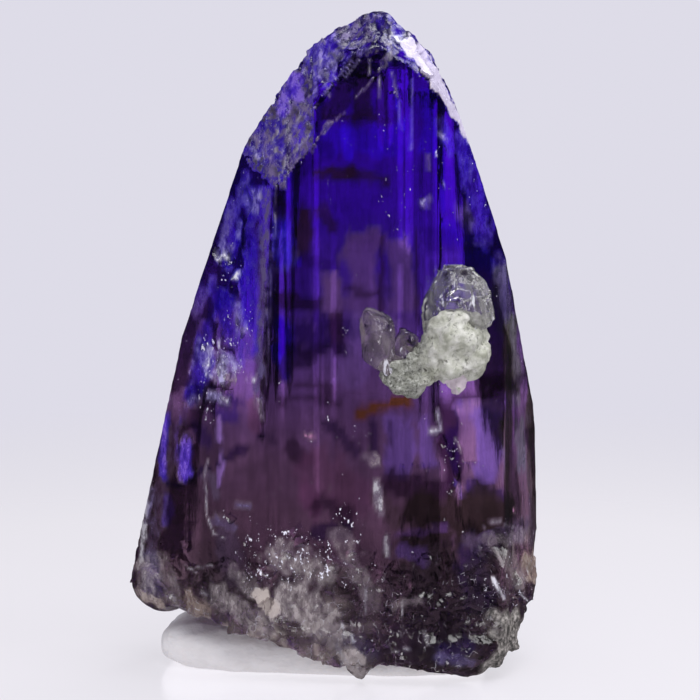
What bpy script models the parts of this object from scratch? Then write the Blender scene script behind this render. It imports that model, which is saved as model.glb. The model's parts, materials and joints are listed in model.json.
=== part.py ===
"""Rough tanzanite: a bullet-shaped crystal with a broken base, a small cluster of other
minerals grown on its front face, and the pad of white mounting putty it stands on.

Shapes are worked out in millimetres and turned into metres when their object is made.
X runs across the broad front face, -Y is the way that face looks, and Z is up.
"""

import math

import bmesh
import bpy
from mathutils import Euler, Matrix, Vector, noise
from mathutils.bvhtree import BVHTree

# Driving dimensions, in millimetres.
HEIGHT = 36.0
HALF_WIDTH = 11.0
HALF_DEPTH = 6.5
PAD_THICKNESS = 2.9
GAP = 0.3
MM = 0.001

# Crystal faces: name, azimuth of the outward normal (0 is +X, -90 the front), lean towards
# the axis, both in degrees, and a point on the face in half widths, half depths and heights.
PRISM_FACES = [
    ("front", -94, 2.0, (0.00, -0.908, 0.500)),
    ("front_left", -128, 3.7, (-0.355, -0.866, 0.500)),
    ("front_right", -62, 1.8, (0.482, -0.915, 0.750)),
    ("right", -18, 0.5, (0.806, -0.712, 0.417)),
    ("back_right", 42, 3.0, (1.010, 0.330, 0.147)),
    ("back", 86, 4.0, (0.00, 0.985, 0.200)),
    ("back_left", 136, 5.0, (-0.682, 0.708, 0.167)),
]
TAPER_FACES = [
    ("left_low", 160, 13.6, (-0.764, -0.322, 0.508)),
    ("left_middle", 160, 20.8, (-0.764, -0.322, 0.508)),
    ("left_top", 150, 27.7, (-0.432, -0.615, 0.808)),
    ("right_taper", 12, 19.3, (0.782, -0.665, 0.658)),
    ("back_right_taper", 52, 17.0, (0.600, 0.740, 0.380)),
    ("back_taper", 84, 20.0, (0.00, 0.850, 0.440)),
    ("back_left_taper", 122, 21.0, (-0.480, 0.700, 0.420)),
]
TIP_FACES = [
    ("tip_left_high", -125, 24.0, (-0.110, -0.862, 0.838)),
    ("tip_left_cap", -112, 46.0, (0.160, -0.790, 0.940)),
    ("tip_right_cap", -66, 38.0, (0.245, -0.860, 0.925)),
    ("tip_right", -16, 33.0, (0.455, -0.908, 0.886)),
    ("tip_back_left", 130, 43.0, (-0.173, -0.554, 0.928)),
    ("tip_back_right", 20, 50.0, (0.327, -0.646, 0.964)),
    ("tip_back", 90, 40.0, (0.173, -0.585, 1.000)),
]
# A step in the left of the tip: the slope it leaves, and the riser at its right-hand end.
TIP_STEP = (-114, 19.0, (-0.330, -0.855, 0.708))
TIP_RISER_X = -1.25
# Fracture planes of the broken base: a point on each and the way it faces.
BASE_BREAKS = [
    ("left_break", (-0.664, 0.0, 0.098), Vector((-0.26, 0.05, -0.965))),
    ("middle_break", (0.273, 0.0, 0.034), Vector((0.02, 0.10, -1.0))),
    ("right_break", (0.760, 0.0, 0.030), Vector((0.720, 0.10, -0.690))),
    ("back_break", (0.0, 0.985, 0.080), Vector((0.0, 0.55, -0.84))),
]

# Ribs along the prism: column width, row height, relief, and how fast relief changes.
COLUMN = 0.6
ROW = 2.8
RIB_RELIEF = 0.17
RIB_PITCH = 1.25
# Deeper grooves in the front face: X, half width, depth, lower and upper end.
GROOVES = [
    (3.55, 0.45, 0.34, 22.0, 34.2),
    (2.55, 0.35, 0.22, 27.5, 33.6),
    (5.35, 0.30, 0.16, 21.0, 31.5),
    (-0.9, 0.35, 0.14, 9.0, 29.0),
    (-7.4, 0.40, 0.16, 7.0, 15.0),
]
ROUGH_BELOW = 7.5
ROUGH_RELIEF = 0.42

# Knobs of the broken base: X, Y, Z of the centre, and the radii across, in depth and in height.
FRONT_KNOBS = [
    (-9.75, -0.40, 4.70, 1.80, 1.70, 1.80),
    (-7.90, -1.30, 4.50, 1.60, 1.60, 1.25),
    (-5.80, -2.70, 4.25, 1.70, 1.60, 1.15),
    (-3.40, -3.60, 3.85, 1.60, 1.60, 1.15),
    (-1.20, -3.90, 3.05, 1.50, 1.60, 1.20),
    (0.95, -4.20, 1.85, 1.30, 1.40, 1.50),
    (3.10, -3.90, 2.60, 1.50, 1.50, 1.10),
    (5.90, -3.60, 1.60, 1.70, 1.60, 1.25),
    (7.40, -3.10, 2.00, 1.30, 1.40, 1.25),
    (8.45, -2.20, 3.50, 1.35, 1.50, 1.35),
    (9.95, -1.40, 4.25, 1.25, 1.50, 1.30),
]
# Small feet that reach the ground in front of the pad.
FEET = [
    (1.15, -4.50, 0.95, 1.05, 0.85, 1.15),
    (6.20, -4.10, 0.90, 1.40, 0.90, 1.10),
]
BACK_KNOBS = 11
# Shell-shaped chips: azimuth they are seen from, place across, height, radius, depth and
# how much taller than wide they are.
CHIPS = [
    (-90, -6.5, 16.3, 1.9, 0.40, 1.2),
    (-90, -7.3, 18.4, 1.4, 0.25, 1.6),
    (-90, -6.1, 21.9, 1.4, 0.26, 1.7),
    (-90, -4.9, 25.3, 1.6, 0.26, 1.5),
    (-90, 9.2, 7.4, 3.4, 0.60, 0.9),
    (-90, 9.8, 4.9, 2.2, 0.60, 1.2),
    (-90, 5.8, 12.6, 1.3, 0.30, 1.8),
    (-90, 6.2, 10.4, 1.3, 0.28, 1.6),
    (-90, -1.6, 6.4, 3.4, 0.30, 0.6),
    (-90, 1.4, 5.2, 2.0, 0.30, 1.3),
    (-90, -4.9, 5.0, 1.9, 0.40, 0.8),
    (-90, 4.1, 3.8, 1.9, 0.35, 1.1),
    (-90, 6.6, 3.9, 1.7, 0.40, 0.9),
    (-90, -7.6, 7.2, 1.7, 0.30, 1.3),
    (90, 4.4, 9.5, 3.8, 0.75, 1.1),
    (90, -3.2, 15.5, 3.2, 0.45, 1.4),
    (90, 1.0, 22.5, 2.6, 0.35, 1.5),
    (40, 1.0, 9.0, 2.6, 0.50, 1.5),
    (140, 0.5, 12.5, 2.4, 0.45, 1.4),
]

# The cluster on the front face: lumps as centre, radii; clear crystals as foot, top,
# width, thickness and number of sides.
CLUSTER_LUMPS = [
    ((6.05, -7.00, 18.35), (1.90, 1.55, 2.05)),
    ((4.60, -6.75, 17.60), (1.30, 1.20, 1.25)),
    ((3.65, -6.70, 16.75), (1.55, 1.25, 1.25)),
    ((6.20, -6.80, 16.30), (0.60, 0.75, 0.65)),
]
CLEAR_CRYSTALS = [
    ((5.80, -6.45, 17.70), (6.60, -6.95, 22.60), 3.20, 2.50, 8),
    ((3.10, -6.40, 16.50), (1.60, -6.90, 20.25), 1.90, 1.70, 6),
    ((2.45, -6.50, 16.40), (0.90, -6.60, 18.50), 1.10, 1.30, 6),
]

# The putty pad: half length, half width, middle in plan, turn in degrees, and how square
# it is in plan and in section (1 is an ellipse, smaller is squarer).
PAD_HALF_LENGTH = 8.9
PAD_HALF_WIDTH = 4.3
PAD_MIDDLE = (-0.8, 0.3)
PAD_TURN = -9.0
PAD_CORNERS = (0.55, 0.65)
# Size of the cells of the surface that the crystal leaves in the pad.
PRINT_GRAIN = 0.8


def clear_scene():
    for obj in list(bpy.data.objects):
        bpy.data.objects.remove(obj)


def new_collection(name):
    collection = bpy.data.collections.new(name)
    bpy.context.scene.collection.children.link(collection)
    return collection


def object_from(bm, name, collection, material=None):
    """Turns a bmesh in millimetres into an object in metres."""
    bmesh.ops.scale(bm, vec=(MM, MM, MM), verts=bm.verts)
    mesh = bpy.data.meshes.new(name)
    bm.to_mesh(mesh)
    bm.free()
    if material:
        mesh.materials.append(material)
    obj = bpy.data.objects.new(name, mesh)
    collection.objects.link(obj)
    return obj


def helper_from(bm, name, collection):
    obj = object_from(bm, name, collection)
    obj.hide_render = True
    obj.display_type = "WIRE"
    return obj


def make_material(name, colour, roughness, transmission=0.0):
    material = bpy.data.materials.new(name)
    material.use_nodes = True
    shader = material.node_tree.nodes["Principled BSDF"]
    shader.inputs["Base Color"].default_value = (*colour, 1.0)
    shader.inputs["Roughness"].default_value = roughness
    shader.inputs["Metallic"].default_value = 0.0
    shader.inputs["Transmission Weight"].default_value = transmission
    return material


def in_place(shares):
    return Vector((shares[0] * HALF_WIDTH, shares[1] * HALF_DEPTH, shares[2] * HEIGHT))


def face_normal(azimuth, lean):
    flat = math.cos(math.radians(lean))
    turn = math.radians(azimuth)
    return Vector((flat * math.cos(turn), flat * math.sin(turn), math.sin(math.radians(lean))))


def slice_off(bm, point, normal):
    """Removes what lies outside a plane and closes the cut with one flat face."""
    geometry = bm.verts[:] + bm.edges[:] + bm.faces[:]
    done = bmesh.ops.bisect_plane(bm, geom=geometry, plane_co=point, plane_no=normal, clear_outer=True)
    rim = [item for item in done["geom_cut"] if isinstance(item, bmesh.types.BMEdge)]
    if rim:
        bmesh.ops.contextual_create(bm, geom=rim)


def score(bm, axis, low, high, step):
    """Draws evenly spaced lines across the mesh without changing its shape."""
    normal = Vector([float(axis == i) for i in range(3)])
    for i in range(1, int((high - low) / step)):
        geometry = bm.verts[:] + bm.edges[:] + bm.faces[:]
        bmesh.ops.bisect_plane(bm, geom=geometry, plane_co=normal * (low + i * step), plane_no=normal)


def jittered_ball(bm, centre, radii, detail, jitter, seed):
    """Adds a rough ball to a bmesh: an icosphere whose points are pushed in and out."""
    made = bmesh.ops.create_icosphere(bm, subdivisions=detail, radius=1.0)
    turn = Euler((seed * 1.7, seed * 2.3, seed * 0.9)).to_matrix()
    for vert in made["verts"]:
        push = 1.0 + jitter * noise.noise(vert.co * 1.6 + Vector((seed, 0.0, 0.0)))
        spot = turn @ vert.co * push
        vert.co = Vector(centre) + Vector([spot[i] * radii[i] for i in range(3)])


def faceted_blank():
    """The ideal crystal: a block cut by its faces and by the planes it broke along."""
    bm = bmesh.new()
    bmesh.ops.create_cube(bm, size=2.0)
    bmesh.ops.scale(bm, vec=(HALF_WIDTH * 1.3, HALF_DEPTH * 1.4, HEIGHT / 2), verts=bm.verts)
    bmesh.ops.translate(bm, vec=(0.0, 0.0, HEIGHT / 2), verts=bm.verts)
    for _, azimuth, lean, shares in PRISM_FACES + TAPER_FACES + TIP_FACES:
        slice_off(bm, in_place(shares), face_normal(azimuth, lean))
    for _, shares, normal in BASE_BREAKS:
        slice_off(bm, in_place(shares), normal)
    return bm


def rib_height(across, height):
    """How far a rib stands out at a place across a face; it drifts slowly along the crystal."""
    return RIB_RELIEF * noise.noise(Vector((across * RIB_PITCH, height * 0.045, 3.1)))


def groove_depth(across, height):
    depth = 0.0
    for middle, half_width, deepest, low, high in GROOVES:
        inside = max(0.0, 1.0 - abs(across - middle) / half_width)
        ends = min(1.0, max(0.0, height - low) / 1.5) * min(1.0, max(0.0, high - height) / 1.0)
        depth = max(depth, deepest * inside * ends)
    return depth


def lift_off_ground(height, lowest):
    """Eases heights near the ground up, so that no point goes below the lowest one."""
    bend = lowest + 0.5
    return height if height > bend else lowest + 0.5 * math.exp((height - bend) / 0.5)


def roughen(bm):
    """Ribs and grooves on the prism faces, and the hackly surface of the broken base."""
    bm.normal_update()
    moves = {}
    for vert in bm.verts:
        normal, point = vert.normal, vert.co
        across = point.x if abs(normal.y) > abs(normal.x) else point.y
        upright = max(0.0, 1.0 - 1.6 * abs(normal.z))
        move = normal * (rib_height(across, point.z) * upright)
        if normal.y < -0.4:
            move -= normal * groove_depth(point.x, point.z) * upright
        share = min(1.0, max(0.0, 1.0 - point.z / ROUGH_BELOW)) ** 0.7
        wild = noise.noise_vector(point * 0.62) + 0.5 * noise.noise_vector(point * 1.5)
        moves[vert] = move + wild * ROUGH_RELIEF * share
    for vert, move in moves.items():
        vert.co += move
        vert.co.z = lift_off_ground(vert.co.z, 0.7)


def surface_point(tree, azimuth, across, height):
    """Where a level ray from outside, at this place across the view, meets the crystal."""
    turn = math.radians(azimuth)
    outward = Vector((math.cos(turn), math.sin(turn), 0.0))
    sideways = Vector((-outward.y, outward.x, 0.0))
    if azimuth in (90, 180):
        sideways = -sideways
    start = outward * 60.0 + sideways * across + Vector((0.0, 0.0, height))
    point, normal, _, _ = tree.ray_cast(start, -outward)
    return point, normal


def chip_cutters(tree):
    bm = bmesh.new()
    for seed, (azimuth, across, height, radius, depth, tall) in enumerate(CHIPS):
        point, normal = surface_point(tree, azimuth, across, height)
        centre = point + normal * (radius - depth)
        detail = 3 if radius > 2.0 else 2
        jittered_ball(bm, centre, (radius, radius, radius * tall), detail, 0.30, seed + 0.4)
    return bm


def back_knob_places(tree):
    """Knobs round the back and sides of the break, spaced by azimuth."""
    places = []
    for i in range(BACK_KNOBS):
        azimuth = 12.0 + 160.0 * i / (BACK_KNOBS - 1)
        turn = math.radians(azimuth)
        outward = Vector((math.cos(turn), math.sin(turn), 0.0))
        height = 3.0 + 1.2 * abs(noise.noise(Vector((i * 1.37, 0.0, 5.0)))) + 1.6 * abs(outward.x)
        start = outward * 60.0 + Vector((0.0, 0.0, height))
        point = tree.ray_cast(start, -outward)[0]
        radius = 1.8 + 0.7 * noise.noise(Vector((i * 2.1, 4.0, 0.0)))
        places.append((*(point - outward * radius * 0.85), radius, radius, radius * 0.7))
    return places


def knobs(tree):
    bm = bmesh.new()
    for seed, (x, y, z, *radii) in enumerate(FRONT_KNOBS + back_knob_places(tree)):
        jittered_ball(bm, (x, y, z), radii, 2, 0.55, seed * 1.3)
    for vert in bm.verts:
        vert.co.z = lift_off_ground(vert.co.z, 0.5)
    return bm


def feet():
    bm = bmesh.new()
    for seed, (x, y, z, *radii) in enumerate(FEET):
        jittered_ball(bm, (x, y, z), radii, 2, 0.35, seed * 2.9 + 0.7)
    slice_off(bm, Vector((0.0, 0.0, 0.0)), Vector((0.0, 0.0, -1.0)))
    return bm


def tip_step_cutter():
    """A wedge that stands on the slope of the step and ends at the riser."""
    azimuth, lean, shares = TIP_STEP
    bm = bmesh.new()
    bmesh.ops.create_cube(bm, size=60.0)
    bmesh.ops.translate(bm, vec=(TIP_RISER_X - 30.0, 0.0, HEIGHT), verts=bm.verts)
    riser = Vector((TIP_RISER_X, 0.0, HEIGHT * 0.86))
    slice_off(bm, riser, Vector((0.985, 0.15, 0.09)))
    slice_off(bm, in_place(shares), -face_normal(azimuth, lean))
    return bm


def add_boolean(obj, other, operation, name):
    modifier = obj.modifiers.new(name, "BOOLEAN")
    modifier.operation = operation
    modifier.solver = "EXACT"
    modifier.use_self = True
    modifier.object = other
    return modifier


def apply_modifiers(obj):
    """Replaces an object's mesh by the one its modifiers make, in place."""
    bpy.context.view_layer.update()
    graph = bpy.context.evaluated_depsgraph_get()
    mesh = bpy.data.meshes.new_from_object(obj.evaluated_get(graph))
    obj.modifiers.clear()
    obj.data = mesh


def swollen_copy(obj, name, collection):
    """A cutter a little larger than an object all round, with one even skin."""
    cutter = bpy.data.objects.new(name, obj.data.copy())
    collection.objects.link(cutter)
    cutter.hide_render = True
    cutter.display_type = "WIRE"
    swell = cutter.modifiers.new("Swell", "DISPLACE")
    swell.strength = (GAP + 0.15) * MM
    swell.mid_level = 0.0
    skin = cutter.modifiers.new("Skin", "REMESH")
    skin.mode = "VOXEL"
    skin.voxel_size = PRINT_GRAIN * MM
    return cutter


def make_crystal(parts, helpers):
    """The tanzanite crystal: faces, ribs and grooves, knobbly broken base, and chips."""
    bm = faceted_blank()
    tree = BVHTree.FromBMesh(bm)
    chips = helper_from(chip_cutters(tree), "chip_cutters", helpers)
    lumps = helper_from(knobs(tree), "base_knobs", helpers)
    ground = helper_from(feet(), "feet", helpers)
    step = helper_from(tip_step_cutter(), "tip_step", helpers)
    score(bm, 0, -HALF_WIDTH * 1.1, HALF_WIDTH * 1.1, COLUMN)
    score(bm, 1, -HALF_DEPTH * 1.1, HALF_DEPTH * 1.1, COLUMN * 2.5)
    score(bm, 2, 0.0, HEIGHT, ROW)
    bmesh.ops.remove_doubles(bm, verts=bm.verts, dist=0.03)
    roughen(bm)
    bmesh.ops.triangulate(bm, faces=bm.faces)
    colour = make_material("tanzanite", (0.055, 0.015, 0.32), 0.12, 0.8)
    crystal = object_from(bm, "tanzanite_crystal", parts, colour)
    add_boolean(crystal, lumps, "UNION", "Base knobs")
    add_boolean(crystal, step, "DIFFERENCE", "Tip step")
    add_boolean(crystal, chips, "DIFFERENCE", "Chips")
    add_boolean(crystal, ground, "UNION", "Feet")
    apply_modifiers(crystal)
    return crystal


def clear_crystal(foot, top, width, thickness, sides, margin=0.0):
    """A short glassy crystal: a prism along its own axis, ended by three sloping faces."""
    foot, top = Vector(foot), Vector(top)
    length = (top - foot).length + 2 * margin
    bm = bmesh.new()
    bmesh.ops.create_cone(
        bm, cap_ends=True, segments=sides, radius1=0.5, radius2=0.5, depth=length
    )
    wide = (width + 2.2 * margin, thickness + 2.2 * margin, 1.0)
    bmesh.ops.scale(bm, vec=wide, verts=bm.verts)
    for azimuth, lean in ((20, 42), (150, 50), (265, 38)):
        corner = Vector((0.0, 0.0, length / 2 - 0.25 + margin))
        slice_off(bm, corner, face_normal(azimuth, lean))
    turn = (top - foot).to_track_quat("Z", "Y").to_matrix().to_4x4()
    bmesh.ops.transform(bm, matrix=Matrix.Translation((foot + top) / 2) @ turn, verts=bm.verts)
    return bm


def cluster_lump(seed, margin=0.0):
    centre, radii = CLUSTER_LUMPS[seed]
    bm = bmesh.new()
    larger = [radius + 1.1 * margin for radius in radii]
    jittered_ball(bm, centre, larger, 3, 0.30, seed + 7.3)
    return bm


def cluster_shapes(margin=0.0):
    """Every lump and crystal of the cluster, each standing out by a margin all round."""
    shapes = [cluster_lump(seed, margin) for seed in range(len(CLUSTER_LUMPS))]
    shapes += [clear_crystal(*crystal, margin) for crystal in CLEAR_CRYSTALS]
    return shapes


def make_cluster(parts, helpers):
    """The cluster: two clear crystals and a splinter grown together with pale chalky lumps."""
    first, *others = cluster_shapes()
    colour = make_material("cluster", (0.55, 0.56, 0.50), 0.45)
    cluster = object_from(first, "side_cluster", parts, colour)
    for i, shape in enumerate(others):
        other = helper_from(shape, f"cluster_piece_{i}", helpers)
        add_boolean(cluster, other, "UNION", f"Cluster piece {i}")
    apply_modifiers(cluster)
    return cluster


def cut_socket(crystal, helpers):
    """A hollow in the crystal's face that clears each piece of the cluster by the gap."""
    for i, shape in enumerate(cluster_shapes(GAP)):
        other = helper_from(shape, f"socket_cutter_{i}", helpers)
        add_boolean(crystal, other, "DIFFERENCE", f"Socket {i}")
    apply_modifiers(crystal)


def rounded(value, power):
    return math.copysign(abs(value) ** power, value)


def make_pad(parts):
    """The putty pad: a flattened roll, thick at the left and thin under the crystal's foot."""
    bm = bmesh.new()
    bmesh.ops.create_uvsphere(bm, u_segments=36, v_segments=14, radius=1.0)
    plan, section = PAD_CORNERS
    for vert in bm.verts:
        x, y, z = vert.co
        level = math.hypot(x, y)
        turn = math.atan2(y, x)
        reach = level ** section
        thickness = PAD_THICKNESS * (1.0 - 0.45 * (0.5 + 0.5 * x))
        thickness *= 1.0 + 0.12 * noise.noise(Vector((x * 2.5, y * 2.5, 0.0)))
        vert.co.x = PAD_HALF_LENGTH * rounded(math.cos(turn), plan) * reach
        vert.co.y = PAD_HALF_WIDTH * rounded(math.sin(turn), plan) * reach
        vert.co.z = thickness * (0.42 + 0.58 * rounded(z, section))
    slice_off(bm, Vector((0.0, 0.0, 0.0)), Vector((0.0, 0.0, -1.0)))
    place = Matrix.Translation((*PAD_MIDDLE, 0.0)) @ Matrix.Rotation(math.radians(PAD_TURN), 4, "Z")
    bmesh.ops.transform(bm, matrix=place, verts=bm.verts)
    colour = make_material("putty", (0.78, 0.76, 0.74), 0.7)
    return object_from(bm, "putty_pad", parts, colour)


def centre_on_floor(objects):
    """Moves everything so that the middle of the whole base is the origin."""
    corners = [obj.matrix_world @ vert.co for obj in objects for vert in obj.data.vertices]
    low = Vector([min(corner[i] for corner in corners) for i in range(3)])
    high = Vector([max(corner[i] for corner in corners) for i in range(3)])
    shift = Vector((-(low.x + high.x) / 2, -(low.y + high.y) / 2, -low.z))
    for obj in objects:
        obj.data.transform(Matrix.Translation(shift))


def main():
    clear_scene()
    parts = new_collection("rough_tanzanite")
    helpers = new_collection("cutters")
    crystal = make_crystal(parts, helpers)
    cluster = make_cluster(parts, helpers)
    cut_socket(crystal, helpers)
    pad = make_pad(parts)
    print_cutter = swollen_copy(crystal, "crystal_print", helpers)
    add_boolean(pad, print_cutter, "DIFFERENCE", "Crystal print")
    apply_modifiers(pad)
    centre_on_floor([crystal, cluster, pad])


main()
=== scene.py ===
"""Looks of the rough tanzanite: a finely ribbed see-through crystal, the small cluster on
its face and its putty pad, on a pale floor in soft studio light."""

import json
import math

import bmesh
import bpy
import numpy as np
from mathutils import Euler, Matrix, Vector, noise
from mathutils.bvhtree import BVHTree

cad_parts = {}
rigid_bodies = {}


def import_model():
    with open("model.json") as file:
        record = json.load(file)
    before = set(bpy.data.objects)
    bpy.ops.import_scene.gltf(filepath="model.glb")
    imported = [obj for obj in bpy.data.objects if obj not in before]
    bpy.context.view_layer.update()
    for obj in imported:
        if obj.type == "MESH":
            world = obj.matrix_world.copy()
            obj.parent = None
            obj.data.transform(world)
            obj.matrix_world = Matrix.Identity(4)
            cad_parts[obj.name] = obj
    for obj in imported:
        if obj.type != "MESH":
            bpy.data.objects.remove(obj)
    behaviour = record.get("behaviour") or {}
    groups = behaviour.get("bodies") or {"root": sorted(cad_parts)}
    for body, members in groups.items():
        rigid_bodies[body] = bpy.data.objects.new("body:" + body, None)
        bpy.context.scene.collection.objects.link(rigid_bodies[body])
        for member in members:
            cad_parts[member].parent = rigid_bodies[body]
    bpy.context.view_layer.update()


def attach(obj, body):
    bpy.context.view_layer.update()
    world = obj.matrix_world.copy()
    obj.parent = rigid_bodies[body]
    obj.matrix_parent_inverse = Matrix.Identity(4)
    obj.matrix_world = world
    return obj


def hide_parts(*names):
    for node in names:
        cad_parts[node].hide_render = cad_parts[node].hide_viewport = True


MM = 0.001
# How far the drawing used below is moved to stand in the frame, in millimetres.
SHIFT = Vector((0.253, 0.458, 0.0))

# Main sizes of the crystal, in millimetres, and its faces: name, azimuth and lean in
# degrees, and a point on the face in half widths, half depths and heights.
HEIGHT = 36.0
HALF_WIDTH = 11.0
HALF_DEPTH = 6.5
FACES = [
    ("front", -94, 2.0, (0.00, -0.908, 0.500)),
    ("front_left", -128, 3.7, (-0.355, -0.866, 0.500)),
    ("front_right", -62, 1.8, (0.482, -0.915, 0.750)),
    ("right", -18, 0.5, (0.806, -0.712, 0.417)),
    ("back_right", 42, 3.0, (1.010, 0.330, 0.147)),
    ("back", 86, 4.0, (0.00, 0.985, 0.200)),
    ("back_left", 136, 5.0, (-0.682, 0.708, 0.167)),
    ("left_low", 160, 13.6, (-0.764, -0.322, 0.508)),
    ("left_middle", 160, 20.8, (-0.764, -0.322, 0.508)),
    ("left_top", 150, 27.7, (-0.432, -0.615, 0.808)),
    ("right_taper", 12, 19.3, (0.782, -0.665, 0.658)),
    ("back_right_taper", 52, 17.0, (0.600, 0.740, 0.380)),
    ("back_taper", 84, 20.0, (0.00, 0.850, 0.440)),
    ("back_left_taper", 122, 21.0, (-0.480, 0.700, 0.420)),
    ("tip_left_high", -125, 24.0, (-0.110, -0.862, 0.838)),
    ("tip_left_cap", -112, 46.0, (0.160, -0.790, 0.940)),
    ("tip_right_cap", -66, 38.0, (0.245, -0.860, 0.925)),
    ("tip_right", -16, 33.0, (0.455, -0.908, 0.886)),
    ("tip_back_left", 130, 43.0, (-0.173, -0.554, 0.928)),
    ("tip_back_right", 20, 50.0, (0.327, -0.646, 0.964)),
    ("tip_back", 90, 40.0, (0.173, -0.585, 1.000)),
]
# The step in the tip: its slope as above, and the X and direction of the riser behind it.
TIP_STEP = (-114, 19.0, (-0.330, -0.855, 0.708))
TIP_RISER_X = -1.25
TIP_RISER_NORMAL = (0.985, 0.15, 0.09)
STEPPED_FACES = [*FACES, ("step", *TIP_STEP)]
# Broken planes of the base: name, a point on the plane as above, and the way it faces.
BASE_BREAKS = [
    ("left_break", (-0.664, 0.0, 0.098), Vector((-0.26, 0.05, -0.965))),
    ("middle_break", (0.273, 0.0, 0.034), Vector((0.02, 0.10, -1.0))),
    ("right_break", (0.760, 0.0, 0.030), Vector((0.720, 0.10, -0.690))),
    ("back_break", (0.0, 0.985, 0.080), Vector((0.0, 0.55, -0.84))),
]

# Mesh lines across the crystal: spacing along X, along Y and in height, and the heights
# between which more of them follow. Points closer than SAME_PLACE are joined.
COLUMN = 0.13
SIDE_COLUMN = 0.30
ROW = 0.34
FINE_ROWS = ((-0.17, 9.0), (27.03, 36.0))
SAME_PLACE = 0.005
WORN_ROUNDS = 3
# Ribs: how high they are, and how fast they change across and along the height.
RIB_RELIEF = 0.12
RIB_PITCH = (1.25, 0.045)
FINE_RIB = 0.034
FINE_PITCH = (3.4, 0.05)
HAIR_RIB = 0.012
HAIR_PITCH = (11.0, 0.10)
# Grooves of the front: X, half width, depth, and the heights between which they run.
GROOVES = [
    (3.55, 0.45, 0.34, 22.0, 34.2),
    (2.55, 0.35, 0.22, 27.5, 33.6),
    (5.35, 0.30, 0.16, 21.0, 31.5),
    (-0.9, 0.35, 0.14, 9.0, 29.0),
    (-7.4, 0.40, 0.16, 7.0, 15.0),
]
# Broken surfaces: the heights where they begin, how high their waves are, how far a point
# moves at most, and their flat shards as relief, size and seed.
ROUGH_BELOW = 7.5
ROUGH_RELIEF = 0.34
LONGEST_MOVE = 0.55
BASE_SHARDS = ((0.32, 1.5, 2.0), (0.24, 0.6, 6.0))
CROWN_FROM = 28.5
CROWN_SHARDS = ((0.16, 1.7, 4.0), (0.12, 0.6, 8.0))
# How low the underside reaches: X and the least height there. What would sink lower is bent
# within LIFT of it.
UNDERSIDE = [
    (-11.0, 0.70), (1.7, 0.70), (2.2, 1.15), (3.4, 1.05), (5.2, 0.60), (7.0, 0.35), (11.0, 0.35),
]
LIFT = 0.5
# Farther out than any part of the crystal.
FAR = 60.0

# Knobs of the broken base: X, Y, Z of the centre, the radii across, in depth and in height,
# and how uneven each is.
FRONT_KNOBS = [
    (-9.45, -0.50, 4.72, 1.86, 1.90, 1.72, 0.06),
    (-8.10, -1.20, 4.35, 1.40, 1.60, 1.25, 0.20),
    (-6.80, -2.00, 4.00, 1.10, 1.50, 1.05, 0.25),
    (-5.40, -2.80, 3.90, 1.40, 1.60, 1.15, 0.30),
    (-3.40, -3.60, 3.45, 1.55, 1.60, 1.20, 0.30),
    (-1.20, -3.90, 2.75, 1.50, 1.60, 1.20, 0.30),
    (0.90, -4.10, 1.95, 1.25, 1.40, 1.35, 0.30),
    (3.10, -3.90, 2.45, 1.50, 1.50, 1.15, 0.30),
    (5.90, -3.50, 1.85, 1.70, 1.60, 1.30, 0.20),
    (7.40, -3.10, 2.10, 1.40, 1.50, 1.40, 0.30),
    (8.60, -2.30, 3.30, 1.45, 1.60, 1.45, 0.25),
    (9.75, -1.50, 4.75, 1.05, 1.50, 1.30, 0.12),
]
# The two feet: centre and radii as above, and how wide each is at its lowest.
FEET = [
    (1.20, -5.10, 1.75, 1.60, 1.20, 1.55, 0.30),
    (6.35, -4.75, 1.65, 2.50, 1.50, 1.35, 1.00),
]
BACK_KNOBS = 11
KNOB_GRAIN = 0.03
FOOT_SHARD = (0.15, 0.7)
# Chips: azimuth they are seen from, place across, height, radius, depth and stretch. Those
# wider than WIDE_CHIP have rings like those in a shell.
CHIPS = [
    (-90, -6.35, 16.8, 1.30, 0.26, 1.1),
    (-90, -5.80, 16.2, 0.90, 0.24, 0.9),
    (-90, -7.05, 17.3, 0.80, 0.20, 1.4),
    (-90, -6.45, 22.80, 0.42, 0.16, 1.1),
    (-90, -6.10, 22.40, 0.38, 0.16, 1.0),
    (-90, -5.65, 22.42, 0.40, 0.15, 1.2),
    (-90, -5.40, 21.20, 0.50, 0.14, 1.0),
    (-90, -5.20, 19.20, 0.45, 0.12, 1.3),
    (-90, -5.00, 18.70, 0.40, 0.12, 1.2),
    (-90, -6.00, 18.50, 0.45, 0.12, 1.1),
    (-90, -4.80, 25.5, 1.20, 0.16, 1.6),
    (-90, 8.4, 7.1, 3.00, 0.16, 0.9),
    (-90, 9.9, 5.3, 1.60, 0.22, 1.2),
    (-90, 5.5, 13.1, 0.38, 0.14, 1.4),
    (-90, 6.0, 12.4, 0.32, 0.12, 1.6),
    (-90, 6.3, 11.4, 0.34, 0.12, 1.5),
    (-90, 6.1, 10.6, 0.30, 0.10, 1.5),
    (90, 3.5, 6.2, 3.00, 0.40, 1.0),
    (40, 1.0, 9.0, 2.60, 0.24, 1.5),
    (140, 0.5, 12.5, 2.40, 0.22, 1.4),
]
BASE_CHIPS = 16
WIDE_CHIP = 1.2

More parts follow.
